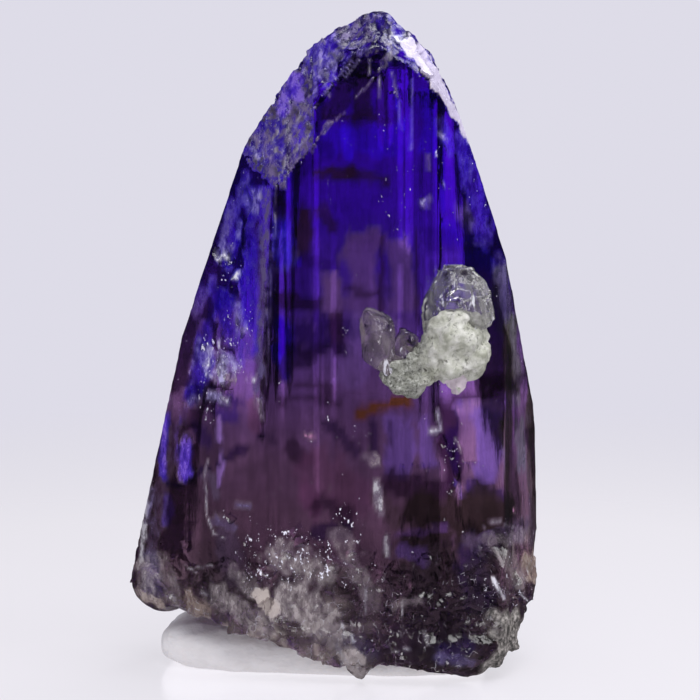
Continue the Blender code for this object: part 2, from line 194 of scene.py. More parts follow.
# The cluster: chalky lumps as centre and radii. The clear crystals as centre, half sizes, roll
# in degrees, how worn their edges are, and the faces that cut them: direction and distance.
CLUSTER_LUMPS = [
    ((6.15, -7.00, 18.20), (1.65, 1.50, 1.70)),
    ((6.95, -6.75, 17.60), (1.00, 1.20, 1.10)),
    ((5.30, -6.85, 17.20), (1.00, 1.20, 0.90)),
    ((4.60, -6.75, 17.30), (1.10, 1.10, 0.95)),
    ((3.75, -6.70, 16.60), (1.40, 1.20, 1.00)),
    ((6.25, -6.85, 16.25), (0.50, 0.70, 0.60)),
]
CLEAR_CRYSTALS = [
    ((6.35, -6.85, 19.60), (1.86, 1.05, 2.72), -4.0, 0.30, (
        ((-0.85, -0.15, 0.53), 2.02), ((0.76, -0.10, 0.65), 2.28), ((0.15, -0.80, 0.60), 1.85),
        ((-0.62, -0.78, 0.00), 1.36), ((0.72, -0.70, 0.10), 1.45), ((-0.30, -0.75, 0.55), 1.80),
        ((-0.60, 0.80, 0.10), 1.40), ((0.65, 0.75, 0.20), 1.45), ((0.35, 0.00, -0.94), 1.05),
    )),
    ((2.15, -6.70, 18.20), (0.90, 0.80, 1.92), -7.0, 0.10, (
        ((0.51, -0.20, 0.86), 1.38), ((-0.85, -0.10, 0.50), 1.36), ((-0.68, -0.10, -0.72), 1.10),
        ((-0.45, -0.88, 0.15), 0.72), ((0.62, -0.78, 0.10), 0.68), ((-0.60, 0.80, 0.00), 0.85),
    )),
    ((3.35, -6.55, 17.75), (0.62, 0.65, 1.15), 28.0, 0.08, (
        ((0.60, -0.30, 0.74), 1.00), ((-0.70, -0.30, 0.64), 0.95), ((-0.50, -0.86, 0.10), 0.58),
        ((0.70, -0.71, 0.00), 0.62),
    )),
]
CLUSTER_VOXEL = 0.07
# The painted shade in the gap between the lumps, as X and Z and its reach, and how far the last lump
# is pink.
LUMP_GAP = (4.85, 16.4)
LUMP_GAP_REACH = (0.55, 0.9)
PINK_REACH = 0.75

# The putty pad, as in the solid below it.
PAD_THICKNESS = 2.9
PAD_HALF_LENGTH = 8.9
PAD_HALF_WIDTH = 4.3
PAD_MIDDLE = (-0.8, 0.3)
PAD_TURN = -9.0
PAD_CORNERS = (0.55, 0.65)
PAD_THINNER = 0.45
# The pad's widest level, and how far it bulges above and below that, in thicknesses.
PAD_LEVELS = (0.42, 0.58)

# The camera: the photo's size in pixels, what a pixel spans at the front of the crystal, how
# much nearer than the aim the front is, how far and how high the camera is, and its aim.
PHOTO_SIZE = 700
FRONT_PIXEL = 0.054
FRONT_SHARE = 0.979
PIXEL = FRONT_PIXEL / FRONT_SHARE
SENSOR = 36.0
CAMERA_DISTANCE = 150.0
CAMERA_RISE = 5.0
CAMERA_AIM = (0.92, 17.29)

# Soft lights: name, azimuth and elevation from the front, distance, size and power.
LIGHTS = [
    ("key", 8, 46, 160, (90, 90), 0.11),
    ("fill", 60, 40, 160, (60, 90), 0.06),
    ("top", 125, 66, 150, (100, 100), 0.12),
]
LIGHT_AIM = 17.0
# The backdrop's colour and how bright it is to each kind of ray, and at least to any.
BACKDROP = (0.730, 0.716, 0.807)
BACKDROP_SHARES = [("Is Camera Ray", 1.0), ("Is Transmission Ray", 1.0), ("Is Diffuse Ray", 0.76)]
BACKDROP_LEAST = 0.03
# The floor's glow, and the distances between which it fades into the backdrop.
FLOOR = (0.86, 0.84, 0.89)
FLOOR_GLOW = 0.71
FLOOR_FADE = (55.0, 130.0)
FLOOR_RADIUS = 400.0
FLOOR_DROP = 0.02

# How strongly each clear mineral bends light, and what the body of the crystal lets through.
CRYSTAL_IOR = 1.69
CLUSTER_IOR = 1.58
LUMP_IOR = 1.6
BODY_TINT = (0.535, 0.38, 0.635)
BODY_DENSITY = 120.0

# What light keeps on its way through the crystal, by height: violet-blue above, mauve in the
# middle and brownish below. The back rows are for the far half of the surface.
THROUGH = [
    (0.0, (0.18, 0.14, 0.13)),
    (4.0, (0.17, 0.12, 0.12)),
    (8.0, (0.165, 0.10, 0.125)),
    (12.0, (0.178, 0.102, 0.172)),
    (15.0, (0.175, 0.092, 0.232)),
    (18.0, (0.13, 0.06, 0.27)),
    (21.0, (0.065, 0.018, 0.32)),
    (25.0, (0.042, 0.004, 0.37)),
    (30.0, (0.036, 0.002, 0.36)),
    (36.0, (0.036, 0.002, 0.34)),
]
BACK = [
    (0.0, (0.55, 0.45, 0.40)),
    (8.0, (0.55, 0.40, 0.45)),
    (14.0, (0.55, 0.38, 0.70)),
    (18.0, (0.42, 0.24, 0.80)),
    (24.0, (0.18, 0.05, 0.85)),
    (36.0, (0.14, 0.04, 0.85)),
]
# Faces turned aside look darker, since light takes a longer way through behind them.
# The body's colour is painted up to this many times lighter there, to make up for that shade.
SIDE_BOOST = 2.5
# Upright blocks of lighter and darker glass: share, width, height and seed.
BARS = [(0.45, 1.9, 8.0, 1.0), (0.35, 0.8, 5.0, 2.0), (0.20, 0.35, 7.0, 3.0)]
GLASS_COLOURS = {
    "blue": (0.035, 0.002, 0.52),
    "bright": (0.045, 0.003, 0.85),
    "deep": (0.02, 0.001, 0.20),
    "dark": (0.02, 0.005, 0.055),
    "umber": (0.028, 0.008, 0.030),
    "mauve": (0.165, 0.085, 0.26),
    "violet": (0.26, 0.155, 0.46),
    "lilac": (0.40, 0.26, 0.62),
    "window": (0.38, 0.25, 0.90),
    "haze": (0.10, 0.045, 0.70),
    "rust": (0.20, 0.085, 0.16),
    "amber": (0.20, 0.075, 0.03),
    "murk": (0.10, 0.07, 0.07),
    "pitch": (0.030, 0.020, 0.018),
    "slate": (0.17, 0.14, 0.20),
    "indigo": (0.12, 0.08, 0.26),
    "navy": (0.022, 0.003, 0.12),
    "dusk": (0.175, 0.108, 0.31),
}
SKIN_COLOURS = {
    # white is a painted highlight: small glints of light on pits, chips and cracks.
    "white": (0.92, 0.92, 1.00),
    "pale": (0.44, 0.39, 0.72),
    "mist": (0.20, 0.16, 0.34),
    "ash": (0.46, 0.44, 0.48),
    "cream": (0.52, 0.45, 0.41),
    "sand": (0.52, 0.43, 0.38),
    "tan": (0.33, 0.25, 0.21),
    "smoke": (0.44, 0.385, 0.385),
    "bloom": (0.20, 0.11, 0.62),
    # The pale colour along the tip's right slope: a painted reflection of the light.
    "veil_and_sheen": (0.60, 0.55, 0.71),
    "film": (0.075, 0.040, 0.36),
    "plum": (0.10, 0.07, 0.16),
    "dim": (0.10, 0.07, 0.20),
    # rose is a painted highlight: small pink glints of light.
    "rose_glint": (0.60, 0.25, 0.45),
    "glow": (0.032, 0.008, 0.32),
    "window_left": (0.20, 0.09, 0.66),
    # A stroke named bare has no colour: it takes frost away.
}
# Zones of the front, as listed strokes: colour, the column and row in the photo's
# pixels where the stroke begins and ends, its half width in pixels, and how strong it is.
# The first lie in the clear body, the second on its skin.
GLASS_STROKES = [
    ("blue", 326, 142, 396, 140, 15, 0.9), ("blue", 428, 97, 428, 148, 8, 1),
    ("deep", 318, 84, 321, 132, 4, 1), ("dark", 332, 112, 346, 84, 9, 0.8),
    ("dark", 360, 70, 362, 112, 10, 0.9), ("dark", 326, 117, 376, 117, 3, 0.8),
    ("navy", 378, 56, 384, 120, 7, 0.8), ("bright", 348, 132, 350, 156, 6, 0.6),
    ("bright", 401, 98, 402, 132, 3, 1), ("umber", 318, 174, 352, 172, 6, 0.9),
    ("umber", 352, 174, 386, 182, 5, 0.7), ("deep", 286, 172, 316, 152, 13, 0.7),
    ("navy", 282, 196, 306, 214, 9, 0.7), ("bright", 284, 228, 292, 246, 8, 1),
    ("bright", 280, 258, 296, 260, 5, 1), ("umber", 304, 212, 304, 248, 9, 0.9),
    ("umber", 322, 212, 330, 230, 7, 0.7), ("deep", 300, 262, 300, 292, 14, 0.5),
    ("dark", 284, 300, 316, 304, 9, 0.9), ("blue", 285, 328, 287, 350, 10, 1),
    ("navy", 300, 332, 322, 344, 12, 0.8), ("navy", 312, 262, 330, 262, 8, 0.5),
    ("bright", 276, 228, 282, 262, 6, 0.8), ("bright", 284, 176, 292, 200, 8, 0.4),
    ("bright", 278, 350, 284, 372, 6, 0.6), ("dark", 276, 374, 304, 355, 8, 0.8),
    ("umber", 300, 384, 330, 392, 6, 0.6), ("mauve", 331, 282, 331, 308, 10, 1),
    ("navy", 320, 322, 346, 330, 10, 0.8), ("umber", 336, 316, 336, 352, 6, 0.8),
    ("dark", 294, 352, 346, 350, 7, 0.8), ("mauve", 362, 250, 364, 300, 16, 0.8),
    ("mauve", 398, 250, 402, 300, 14, 0.7), ("umber", 382, 240, 382, 320, 2, 0.7),
    ("umber", 417, 234, 417, 318, 2, 0.7), ("umber", 344, 290, 388, 292, 3, 0.6),
    ("violet", 360, 330, 352, 372, 14, 0.4), ("blue", 452, 150, 457, 226, 17, 0.8),
    ("haze", 462, 208, 468, 224, 6, 0.8), ("blue", 444, 134, 449, 160, 5, 0.6),
    ("deep", 430, 236, 500, 256, 12, 0.6), ("blue", 470, 262, 484, 262, 10, 0.5),
    ("indigo", 500, 270, 506, 330, 8, 0.8), ("slate", 512, 318, 516, 400, 6, 0.7),
    ("haze", 262, 146, 264, 160, 2, 1), ("blue", 246, 186, 242, 236, 8, 0.6),
    ("blue", 246, 240, 244, 280, 9, 0.7), ("deep", 246, 222, 246, 252, 5, 0.7),
    ("bright", 248, 288, 249, 324, 6, 0.9), ("blue", 232, 262, 226, 300, 10, 0.7),
    ("blue", 214, 290, 208, 330, 7, 0.5), ("haze", 232, 330, 236, 362, 8, 0.35),
    ("blue", 222, 296, 230, 330, 6, 0.5), ("blue", 204, 346, 196, 390, 9, 0.5),
    ("bright", 256, 316, 257, 352, 4, 0.8), ("umber", 260, 224, 262, 300, 4, 0.7),
    ("umber", 261, 300, 259, 398, 4, 0.7), ("mauve", 250, 384, 254, 396, 8, 0.8),
    ("rust", 252, 402, 256, 428, 6, 0.6), ("navy", 196, 392, 236, 404, 8, 0.7),
    ("deep", 216, 412, 236, 418, 6, 0.6), ("haze", 166, 416, 164, 474, 4, 0.6),
    ("haze", 184, 446, 186, 473, 6, 0.6), ("lilac", 218, 418, 219, 440, 3, 0.9),
    ("lilac", 219, 456, 219, 482, 3, 0.8), ("navy", 200, 424, 204, 440, 7, 0.5),
    ("slate", 206, 472, 216, 492, 5, 0.7), ("haze", 168, 500, 168, 520, 4, 0.15),
    ("dark", 161, 487, 189, 481, 2, 0.9), ("dark", 189, 481, 207, 467, 2, 0.9),
    ("dark", 207, 467, 247, 447, 2, 0.8), ("dark", 262, 437, 274, 442, 3, 0.8),
    ("umber", 292, 450, 306, 460, 8, 0.7), ("rust", 322, 472, 352, 498, 24, 0.5),
    ("rust", 306, 482, 318, 512, 6, 0.8), ("umber", 280, 400, 340, 402, 4, 0.6),
    ("dark", 330, 425, 352, 450, 6, 0.6), ("umber", 326, 506, 344, 516, 10, 0.7),
    ("amber", 366, 413, 382, 407, 8, 1), ("amber", 384, 406, 402, 400, 7, 1),
    ("violet", 457, 409, 493, 409, 10, 0.8), ("violet", 398, 432, 400, 462, 14, 0.9),
    ("violet", 424, 428, 430, 462, 9, 0.9), ("dusk", 487, 424, 487, 468, 13, 0.9),
    ("slate", 504, 420, 506, 470, 4, 0.8), ("slate", 521, 424, 521, 466, 6, 0.9),
    ("umber", 440, 402, 500, 392, 5, 0.7), ("dark", 372, 425, 372, 450, 5, 0.7),
    ("dark", 392, 425, 392, 448, 3, 0.6), ("umber", 446, 416, 456, 474, 10, 0.9),
    ("dark", 452, 430, 458, 470, 5, 0.8), ("window", 457, 482, 457, 488, 2, 0.7),
    ("navy", 470, 486, 500, 494, 8, 0.7), ("murk", 508, 330, 508, 560, 5, 0.8),
    ("murk", 531, 330, 533, 545, 5, 0.8), ("umber", 396, 486, 440, 490, 12, 0.8),
    ("pitch", 420, 510, 500, 512, 18, 0.95), ("pitch", 430, 560, 440, 620, 36, 0.9),
    ("pitch", 482, 500, 482, 600, 20, 0.9), ("dark", 470, 560, 478, 600, 14, 0.7),
    ("violet", 402, 552, 421, 554, 7, 0.4), ("mauve", 396, 533, 444, 530, 4, 0.4),
    ("murk", 380, 498, 392, 520, 8, 0.6), ("slate", 476, 540, 520, 530, 10, 0.5),
    ("indigo", 446, 652, 466, 650, 12, 0.8), ("slate", 345, 650, 362, 656, 14, 0.9),
    ("dark", 318, 531, 346, 531, 8, 0.7), ("murk", 196, 590, 240, 588, 18, 0.6),
    ("murk", 330, 590, 370, 600, 20, 0.5), ("umber", 482, 381, 520, 381, 7, 0.6),
    ("slate", 150, 560, 154, 590, 10, 0.7), ("slate", 226, 540, 232, 575, 12, 0.4),
]
# Of the skin strokes, the white and the rose ones are painted glints of light, and the pale ones along
# the tip's right slope are a painted reflection.
SKIN_STROKES = [
    ("bloom", 296, 82, 298, 96, 8, 1), ("bloom", 286, 96, 284, 110, 6, 0.8),
    ("ash", 345, 46, 362, 43, 3, 0.5), ("mist", 352, 30, 346, 36, 4, 0.8),
    ("pale", 345, 78, 359, 60, 1, 0.7), ("mist", 366, 20, 378, 17, 3, 0.8),
    ("ash", 388, 26, 391, 44, 2, 0.7), ("ash", 388, 46, 390, 60, 2, 0.6),
    ("bare", 376, 26, 382, 50, 4, 0.6), ("bare", 399, 48, 405, 70, 5, 1),
    ("bare", 398, 38, 402, 44, 2, 0.8), ("bare", 320, 84, 321, 130, 3, 1),
    ("film", 464, 140, 484, 236, 10, 0.45), ("film", 440, 120, 452, 150, 6, 0.4),
    ("plum", 498, 262, 512, 330, 7, 0.5), ("plum", 516, 340, 526, 420, 6, 0.45),
    ("plum", 520, 440, 532, 540, 7, 0.45), ("dim", 266, 190, 262, 300, 5, 0.8),
    ("dim", 262, 300, 257, 398, 5, 0.7), ("glow", 256, 196, 250, 280, 9, 0.6),
    ("glow", 250, 280, 244, 352, 9, 0.5), ("glow", 232, 236, 226, 262, 8, 0.6),
    ("glow", 222, 300, 230, 340, 10, 0.5), ("glow", 204, 330, 198, 390, 8, 0.4),
    ("glow", 188, 396, 180, 420, 7, 0.4), ("glow", 282, 226, 286, 262, 8, 0.2),
    ("window_left", 186, 442, 184, 474, 6, 0.8), ("window_left", 165, 420, 164, 470, 3, 0.8),
    ("window_left", 176, 420, 174, 460, 4, 0.4), ("plum", 176, 404, 158, 500, 8, 0.35),
    ("plum", 160, 510, 150, 560, 7, 0.5), ("veil_and_sheen", 410, 46, 424, 64, 6, 3),
    ("veil_and_sheen", 426, 62, 436, 80, 6, 3), ("veil_and_sheen", 437, 82, 456, 116, 4, 3),
    ("veil_and_sheen", 456, 112, 470, 140, 3, 2), ("white", 392, 34, 399, 40, 2, 1),
    ("white", 404, 40, 410, 42, 1, 0.9), ("ash", 310, 134, 298, 148, 1, 0.7),
    ("ash", 298, 148, 286, 161, 1, 0.7), ("ash", 286, 161, 279, 180, 1, 0.6),
    ("ash", 280, 118, 276, 142, 1, 0.6), ("ash", 286, 122, 290, 142, 1, 0.6),
    ("ash", 272, 134, 276, 154, 1, 0.6), ("ash", 300, 116, 290, 136, 1, 0.6),
    ("ash", 284, 146, 280, 162, 1, 0.6), ("ash", 268, 118, 264, 134, 1, 0.5),
    ("pale", 252, 148, 258, 158, 2, 0.8), ("ash", 322, 60, 314, 76, 1, 0.6),
    ("ash", 330, 56, 336, 80, 1, 0.5), ("ash", 340, 54, 346, 66, 1, 0.5),
    ("ash", 326, 84, 330, 98, 1, 0.5), ("ash", 352, 52, 340, 72, 1, 0.5),
    ("ash", 372, 24, 376, 40, 1, 0.5), ("ash", 380, 20, 384, 34, 1, 0.5),
    ("mist", 275, 190, 270, 300, 1, 0.4), ("mist", 270, 300, 266, 385, 1, 0.4),
    ("ash", 276, 212, 274, 244, 1, 0.5), ("mist", 246, 176, 240, 200, 5, 0.4),
    ("pale", 256, 192, 256, 210, 4, 0.6), ("mist", 233, 204, 225, 232, 6, 0.45),
    ("pale", 240, 222, 238, 238, 3, 0.5), ("white", 216, 252, 218, 258, 3, 0.9),
    ("white", 226, 256, 229, 260, 3, 0.9), ("white", 233, 279, 238, 275, 3, 0.9),
    ("pale", 222, 246, 230, 250, 5, 0.5), ("mist", 203, 290, 196, 310, 6, 0.45),
    ("mist", 212, 280, 208, 292, 4, 0.35), ("pale", 237, 306, 242, 330, 5, 0.5),
    ("white", 218, 340, 219, 348, 2, 0.8), ("pale", 206, 358, 224, 372, 12, 0.7),
    ("pale", 222, 356, 234, 366, 7, 0.7), ("white", 205, 358, 209, 366, 2, 0.9),
    ("white", 208, 374, 216, 380, 2, 0.8), ("white", 188, 368, 190, 376, 1, 0.9),
    ("cream", 228, 378, 234, 380, 4, 1), ("white", 248, 380, 255, 378, 1, 1),
    ("pale", 212, 396, 224, 400, 5, 0.7), ("mist", 190, 404, 196, 400, 6, 0.5),
    ("white", 220, 398, 226, 402, 2, 0.7), ("ash", 258, 400, 262, 416, 2, 0.7),
    ("ash", 153, 450, 141, 560, 3, 0.85), ("mist", 147, 520, 152, 488, 4, 0.6),
    ("mist", 170, 392, 150, 450, 2, 0.6), ("ash", 208, 462, 205, 472, 1, 0.8),
    ("ash", 205, 472, 207, 516, 1, 0.8), ("ash", 207, 516, 214, 534, 1, 0.8),
    ("ash", 214, 534, 224, 538, 1, 0.8), ("white", 227, 519, 229, 522, 1, 0.9),
    ("mist", 218, 520, 232, 528, 5, 0.4), ("mist", 236, 504, 250, 506, 2, 0.6),
    ("rose_glint", 301, 434, 316, 438, 1, 0.8), ("cream", 262, 597, 270, 607, 9, 1.5),
    ("cream", 274, 602, 279, 610, 4, 1.2), ("smoke", 142, 566, 150, 590, 9, 0.6),
    ("sand", 140, 592, 160, 606, 6, 0.8), ("smoke", 160, 560, 176, 600, 9, 0.5),
    ("tan", 190, 600, 206, 612, 8, 0.8), ("smoke", 280, 556, 318, 572, 16, 0.55),
    ("smoke", 290, 600, 330, 630, 18, 0.8), ("smoke", 220, 596, 262, 622, 12, 0.7),
    ("smoke", 236, 574, 250, 590, 9, 0.5), ("smoke", 340, 540, 372, 600, 10, 0.4),
    ("ash", 184, 566, 196, 572, 1, 0.8), ("ash", 196, 568, 212, 565, 1, 0.8),
    ("ash", 202, 592, 210, 594, 2, 0.6), ("ash", 376, 484, 380, 510, 4, 0.9),
    ("ash", 386, 536, 387, 556, 2, 0.8), ("ash", 365, 587, 366, 614, 1, 0.8),
    ("ash", 402, 603, 402, 636, 1, 0.8), ("white", 389, 648, 400, 651, 1, 0.8),
    ("white", 400, 651, 411, 646, 1, 0.8), ("smoke", 396, 604, 420, 600, 5, 0.5),
    ("white", 492, 577, 504, 599, 2, 0.9), ("white", 519, 590, 528, 598, 1, 0.8),
    ("smoke", 490, 540, 524, 536, 8, 0.45), ("ash", 484, 526, 500, 520, 1, 0.6),
    ("ash", 478, 540, 482, 556, 1, 0.6), ("ash", 500, 522, 526, 530, 1, 0.5),
    ("tan", 526, 560, 536, 574, 8, 0.9), ("smoke", 508, 556, 520, 580, 7, 0.5),
    ("rose_glint", 513, 510, 515, 512, 1, 0.9), ("smoke", 352, 662, 362, 680, 12, 1),
    ("ash", 336, 646, 350, 664, 1, 0.7), ("white", 352, 636, 354, 642, 2, 0.7),
    ("ash", 424, 632, 428, 644, 2, 0.7), ("mist", 440, 658, 470, 662, 7, 0.6),
    ("white", 431, 432, 440, 428, 3, 0.95), ("white", 438, 414, 440, 424, 2, 0.6),
    ("ash", 456, 440, 462, 452, 1, 0.6), ("smoke", 368, 456, 374, 462, 6, 0.5),
    ("ash", 392, 72, 399, 102, 1, 0.5), ("ash", 399, 102, 401, 130, 1, 0.4),
    ("ash", 411, 80, 411, 150, 1, 0.5), ("ash", 379, 78, 380, 98, 1, 0.6),
    ("ash", 369, 60, 369, 74, 1, 0.6), ("pale", 424, 202, 428, 200, 4, 0.8),
    ("white", 443, 185, 444, 186, 1, 0.8), ("ash", 428, 154, 428, 170, 1, 0.6),
    ("white", 436, 152, 437, 156, 1, 0.8), ("pale", 439, 134, 447, 140, 2, 0.5),
    ("ash", 329, 484, 337, 484, 1, 0.8), ("ash", 329, 490, 337, 490, 1, 0.8),
]
# Frost on the slopes of the tip: colour and strength by face. On tip_right the pale frost is a painted
# reflection, the bright sliver where that slope mirrors the light.
TIP_SKIN = {
    "step": ((0.105, 0.075, 0.18), 0.85),
    "tip_left_high": ((0.21, 0.165, 0.48), 0.75),
    "tip_left_cap": ((0.070, 0.050, 0.14), 0.70),
    "tip_right_cap": ((0.10, 0.08, 0.18), 0.30),
    # A painted reflection, not frost: the slope's bright sliver.
    "tip_right": ((0.60, 0.55, 0.71), 1.2),
    "tip_back": ((0.10, 0.08, 0.20), 0.5),
    "tip_back_left": ((0.09, 0.07, 0.20), 0.5),
    "tip_back_right": ((0.13, 0.11, 0.22), 0.5),
}
# Glittering places: centre as X and Z, reach across and in height, and how dense.
SPARKLES = [
    (-2.6, 6.8, 2.9, 1.7, 1.0),
    (0.6, 7.6, 0.9, 2.6, 0.8),
    (-5.5, 8.2, 3.6, 1.2, 0.35),
    (2.2, 3.6, 1.6, 2.2, 0.45),
    (6.2, 11.6, 0.7, 1.9, 0.6),
    (-6.3, 17.2, 1.5, 1.5, 0.9),
    (-6.0, 22.5, 1.0, 1.2, 0.7),
    (-5.2, 19.2, 0.9, 1.6, 0.7),
    (-6.6, 14.8, 1.4, 1.4, 0.6),
    (6.9, 25.8, 1.2, 2.6, 0.45),
    (3.1, 28.0, 1.4, 4.5, 0.35),
    (8.7, 4.6, 1.4, 1.8, 0.7),
    (0.7, 13.8, 1.5, 1.0, 0.40),
]
NO_SPARKLE = -0.20
# A face is seen from the front while its direction's Y is below this.
FRONT_BELOW = 0.2
TIP_FROM = 25.0
BROKEN_STONE = (0.44, 0.365, 0.34)
# The dark grainy crust at lower right: its middle and reach.
CRUST_MIDDLE = (8.6, -3.6, 1.6)
CRUST_REACH = 2.5


def new_collection(name):
    collection = bpy.data.collections.new(name)
    bpy.context.scene.collection.children.link(collection)
    return collection


def object_from(bm, name, collection):
    """Turns a bmesh in the drawing's millimetres into an object in the frame's metres."""
    bmesh.ops.translate(bm, vec=SHIFT, verts=bm.verts)
    bmesh.ops.scale(bm, vec=(MM, MM, MM), verts=bm.verts)
    mesh = bpy.data.meshes.new(name)
    bm.to_mesh(mesh)
    bm.free()
    obj = bpy.data.objects.new(name, mesh)
    collection.objects.link(obj)
    return obj


def helper_from(bm, name, collection):
    obj = object_from(bm, name, collection)
    obj.hide_render = True
    obj.display_type = "WIRE"
    return obj


def in_place(shares):
    return Vector((shares[0] * HALF_WIDTH, shares[1] * HALF_DEPTH, shares[2] * HEIGHT))


def face_normal(azimuth, lean):
    flat = math.cos(math.radians(lean))
    turn = math.radians(azimuth)
    return Vector((flat * math.cos(turn), flat * math.sin(turn), math.sin(math.radians(lean))))


def slice_off(bm, point, normal):
    geometry = bm.verts[:] + bm.edges[:] + bm.faces[:]
    done = bmesh.ops.bisect_plane(bm, geom=geometry, plane_co=point, plane_no=normal, clear_outer=True)
    rim = [item for item in done["geom_cut"] if isinstance(item, bmesh.types.BMEdge)]
    if rim:
        bmesh.ops.contextual_create(bm, geom=rim)


def score(bm, axis, low, high, step):
    normal = Vector([float(axis == i) for i in range(3)])
    for i in range(1, int((high - low) / step)):
        geometry = bm.verts[:] + bm.edges[:] + bm.faces[:]
        bmesh.ops.bisect_plane(bm, geom=geometry, plane_co=normal * (low + i * step), plane_no=normal)


def jittered_ball(bm, centre, radii, detail, jitter, seed, grain=0.0, grain_size=0.5):
    """A rough ball; its grain is a crust of small rounded grains on top of the main form."""
    made = bmesh.ops.create_icosphere(bm, subdivisions=detail, radius=1.0)
    turn = Euler((seed * 1.7, seed * 2.3, seed * 0.9)).to_matrix()
    centre = Vector(centre)
    for vert in made["verts"]:
        push = 1.0 + jitter * noise.noise(vert.co * 1.6 + Vector((seed, 0.0, 0.0)))
        spot = turn @ vert.co * push
        place = centre + Vector([spot[i] * radii[i] for i in range(3)])
        if grain:
            place += (place - centre).normalized() * grain * grains(place, grain_size)
        vert.co = place


def grains(point, size):
    """Rounded grains packed side by side: high in the middle of each, low between them."""
    nearest = noise.voronoi(point / size, distance_metric="DISTANCE", exponent=2.5)[0]
    return 0.5 - nearest[0] + 0.35 * (nearest[1] - nearest[0])


def faceted_blank():
    """The ideal crystal, before the step is cut into its tip."""
    bm = bmesh.new()
    bmesh.ops.create_cube(bm, size=2.0)
    bmesh.ops.scale(bm, vec=(HALF_WIDTH * 1.3, HALF_DEPTH * 1.4, HEIGHT / 2), verts=bm.verts)
    bmesh.ops.translate(bm, vec=(0.0, 0.0, HEIGHT / 2), verts=bm.verts)
    for _, azimuth, lean, shares in FACES:
        slice_off(bm, in_place(shares), face_normal(azimuth, lean))
    for _, shares, normal in BASE_BREAKS:
        slice_off(bm, in_place(shares), normal)
    return bm


def ease(value, start, length):
    """0 up to the start and 1 a length past it, evenly between; a length below 0 runs back."""
    return min(1.0, max(0.0, (value - start) / length))


def drawn_out(across, height, pitch, seed):
    return noise.noise(Vector((across * pitch[0], height * pitch[1], seed)))


def rib_height(across, height):
    """Broad ribs as in the solid, and narrow flat-topped ones that come and go along them."""
    broad = RIB_RELIEF * drawn_out(across, height, RIB_PITCH, 3.1)
    wave = drawn_out(across, height, FINE_PITCH, 8.3)
    fine = FINE_RIB * (round(wave * 5.0) / 2.5 * 0.7 + wave * 0.6)
    return broad + fine + HAIR_RIB * drawn_out(across, height, HAIR_PITCH, 1.7)


def groove_depth(across, height):
    depth = 0.0
    for middle, half_width, deepest, low, high in GROOVES:
        inside = max(0.0, 1.0 - abs(across - middle) / half_width)
        ends = ease(height, low, 1.5) * ease(height, high, -1.0)
        depth = max(depth, deepest * inside * ends)
    return depth


def shards(point, size, seed):
    """How far a broken surface stands out: flat shards side by side, each tilted its own way."""
    where = point / size + Vector((seed, seed, 0.0))
    middle = noise.voronoi(where, distance_metric="DISTANCE", exponent=2.5)[1][0]
    tilt = noise.cell_vector(middle * 53.0) * 2.0 - Vector((1.0, 1.0, 1.0))
    return size * ((where - middle).dot(tilt) + 0.12 * tilt.x)


def shard_relief(point, layers):
    return sum(relief * shards(point, size, seed) for relief, size, seed in layers)


def lift_off_ground(height, lowest):
    bend = lowest + LIFT
    return height if height > bend else lowest + LIFT * math.exp((height - bend) / LIFT)


def least_height(x):
    return float(np.interp(x, [row[0] for row in UNDERSIDE], [row[1] for row in UNDERSIDE]))


def upright_share(normal):
    """How much of the ribs a face shows: none where it lies, little on the narrow sides."""
    share = max(0.0, 1.0 - 1.6 * abs(normal.z))
    return share * (1.0 - 0.65 * ease(abs(normal.x), 0.25, 0.2))


def roughened(point, normal):
    """Where a point of the smooth crystal goes, for ribs, grooves and hackly broken places."""
    across = point.x if abs(normal.y) > abs(normal.x) else point.y
    upright = upright_share(normal)
    move = normal * (rib_height(across, point.z) * upright)
    if normal.y < -0.4:
        move -= normal * groove_depth(point.x, point.z) * upright
    share = ease(1.0 - point.z / ROUGH_BELOW, 0.0, 1.0) ** 0.7
    if share > 0.0:
        wild = noise.noise_vector(point * 0.62) + 0.5 * noise.noise_vector(point * 1.5)
        move += wild * ROUGH_RELIEF * share
        move += normal * shard_relief(point, BASE_SHARDS) * share
    crown = ease(point.z, CROWN_FROM, 3.0) * ease(normal.z, 0.0, 0.25)
    if crown > 0.0:
        move += normal * shard_relief(point, CROWN_SHARDS) * crown
    return move * min(1.0, LONGEST_MOVE / max(move.length, 0.001))


def roughen(bm):
    bm.normal_update()
    moves = [roughened(vert.co, vert.normal) for vert in bm.verts]
    for vert, move in zip(bm.verts, moves):
        vert.co += move
        vert.co.z = lift_off_ground(vert.co.z, least_height(vert.co.x))


def surface_point(tree, azimuth, across, height):
    turn = math.radians(azimuth)
    outward = Vector((math.cos(turn), math.sin(turn), 0.0))
    sideways = Vector((-outward.y, outward.x, 0.0))
    if azimuth in (90, 180):
        sideways = -sideways
    start = outward * FAR + sideways * across + Vector((0.0, 0.0, height))
    point, normal, _, _ = tree.ray_cast(start, -outward)
    return point, normal


def scatter(i, seed):
    """A settled number between 0 and 1 for each count."""
    return (math.sin(i * 12.9898 + seed * 78.233) * 43758.5453) % 1.0


def all_chips():
    chips = list(CHIPS)
    for i in range(BASE_CHIPS):
        across = -8.6 + 11.0 * scatter(i, 1)
        height = 4.2 + 4.0 * scatter(i, 2) - 0.15 * across
        radius = 0.35 + 0.45 * scatter(i, 3)
        chips.append((-90, across, height, radius, radius * 0.25, 0.7 + 0.5 * scatter(i, 4)))
    return chips


def chip_shapes(tree):
    """Conchoidal chips: facetted scoops, the wide ones with rings like those in a shell."""
    for seed, (azimuth, across, height, radius, depth, tall) in enumerate(all_chips()):
        point, normal = surface_point(tree, azimuth, across, height)
        centre = point + normal * (radius - depth)
        wide = radius > WIDE_CHIP
        radii = (radius, radius, radius * tall)
        bm = bmesh.new()
        jittered_ball(bm, centre, radii, 5 if wide else 2, 0.30, seed + 0.4)
        if wide:
            corner = centre + Vector((radius, -radius, -radius * 0.8))
            for vert in bm.verts:
                ring = math.sin((vert.co - corner).length * 5.5)
                vert.co += (vert.co - centre).normalized() * ring * 0.02
        yield bm


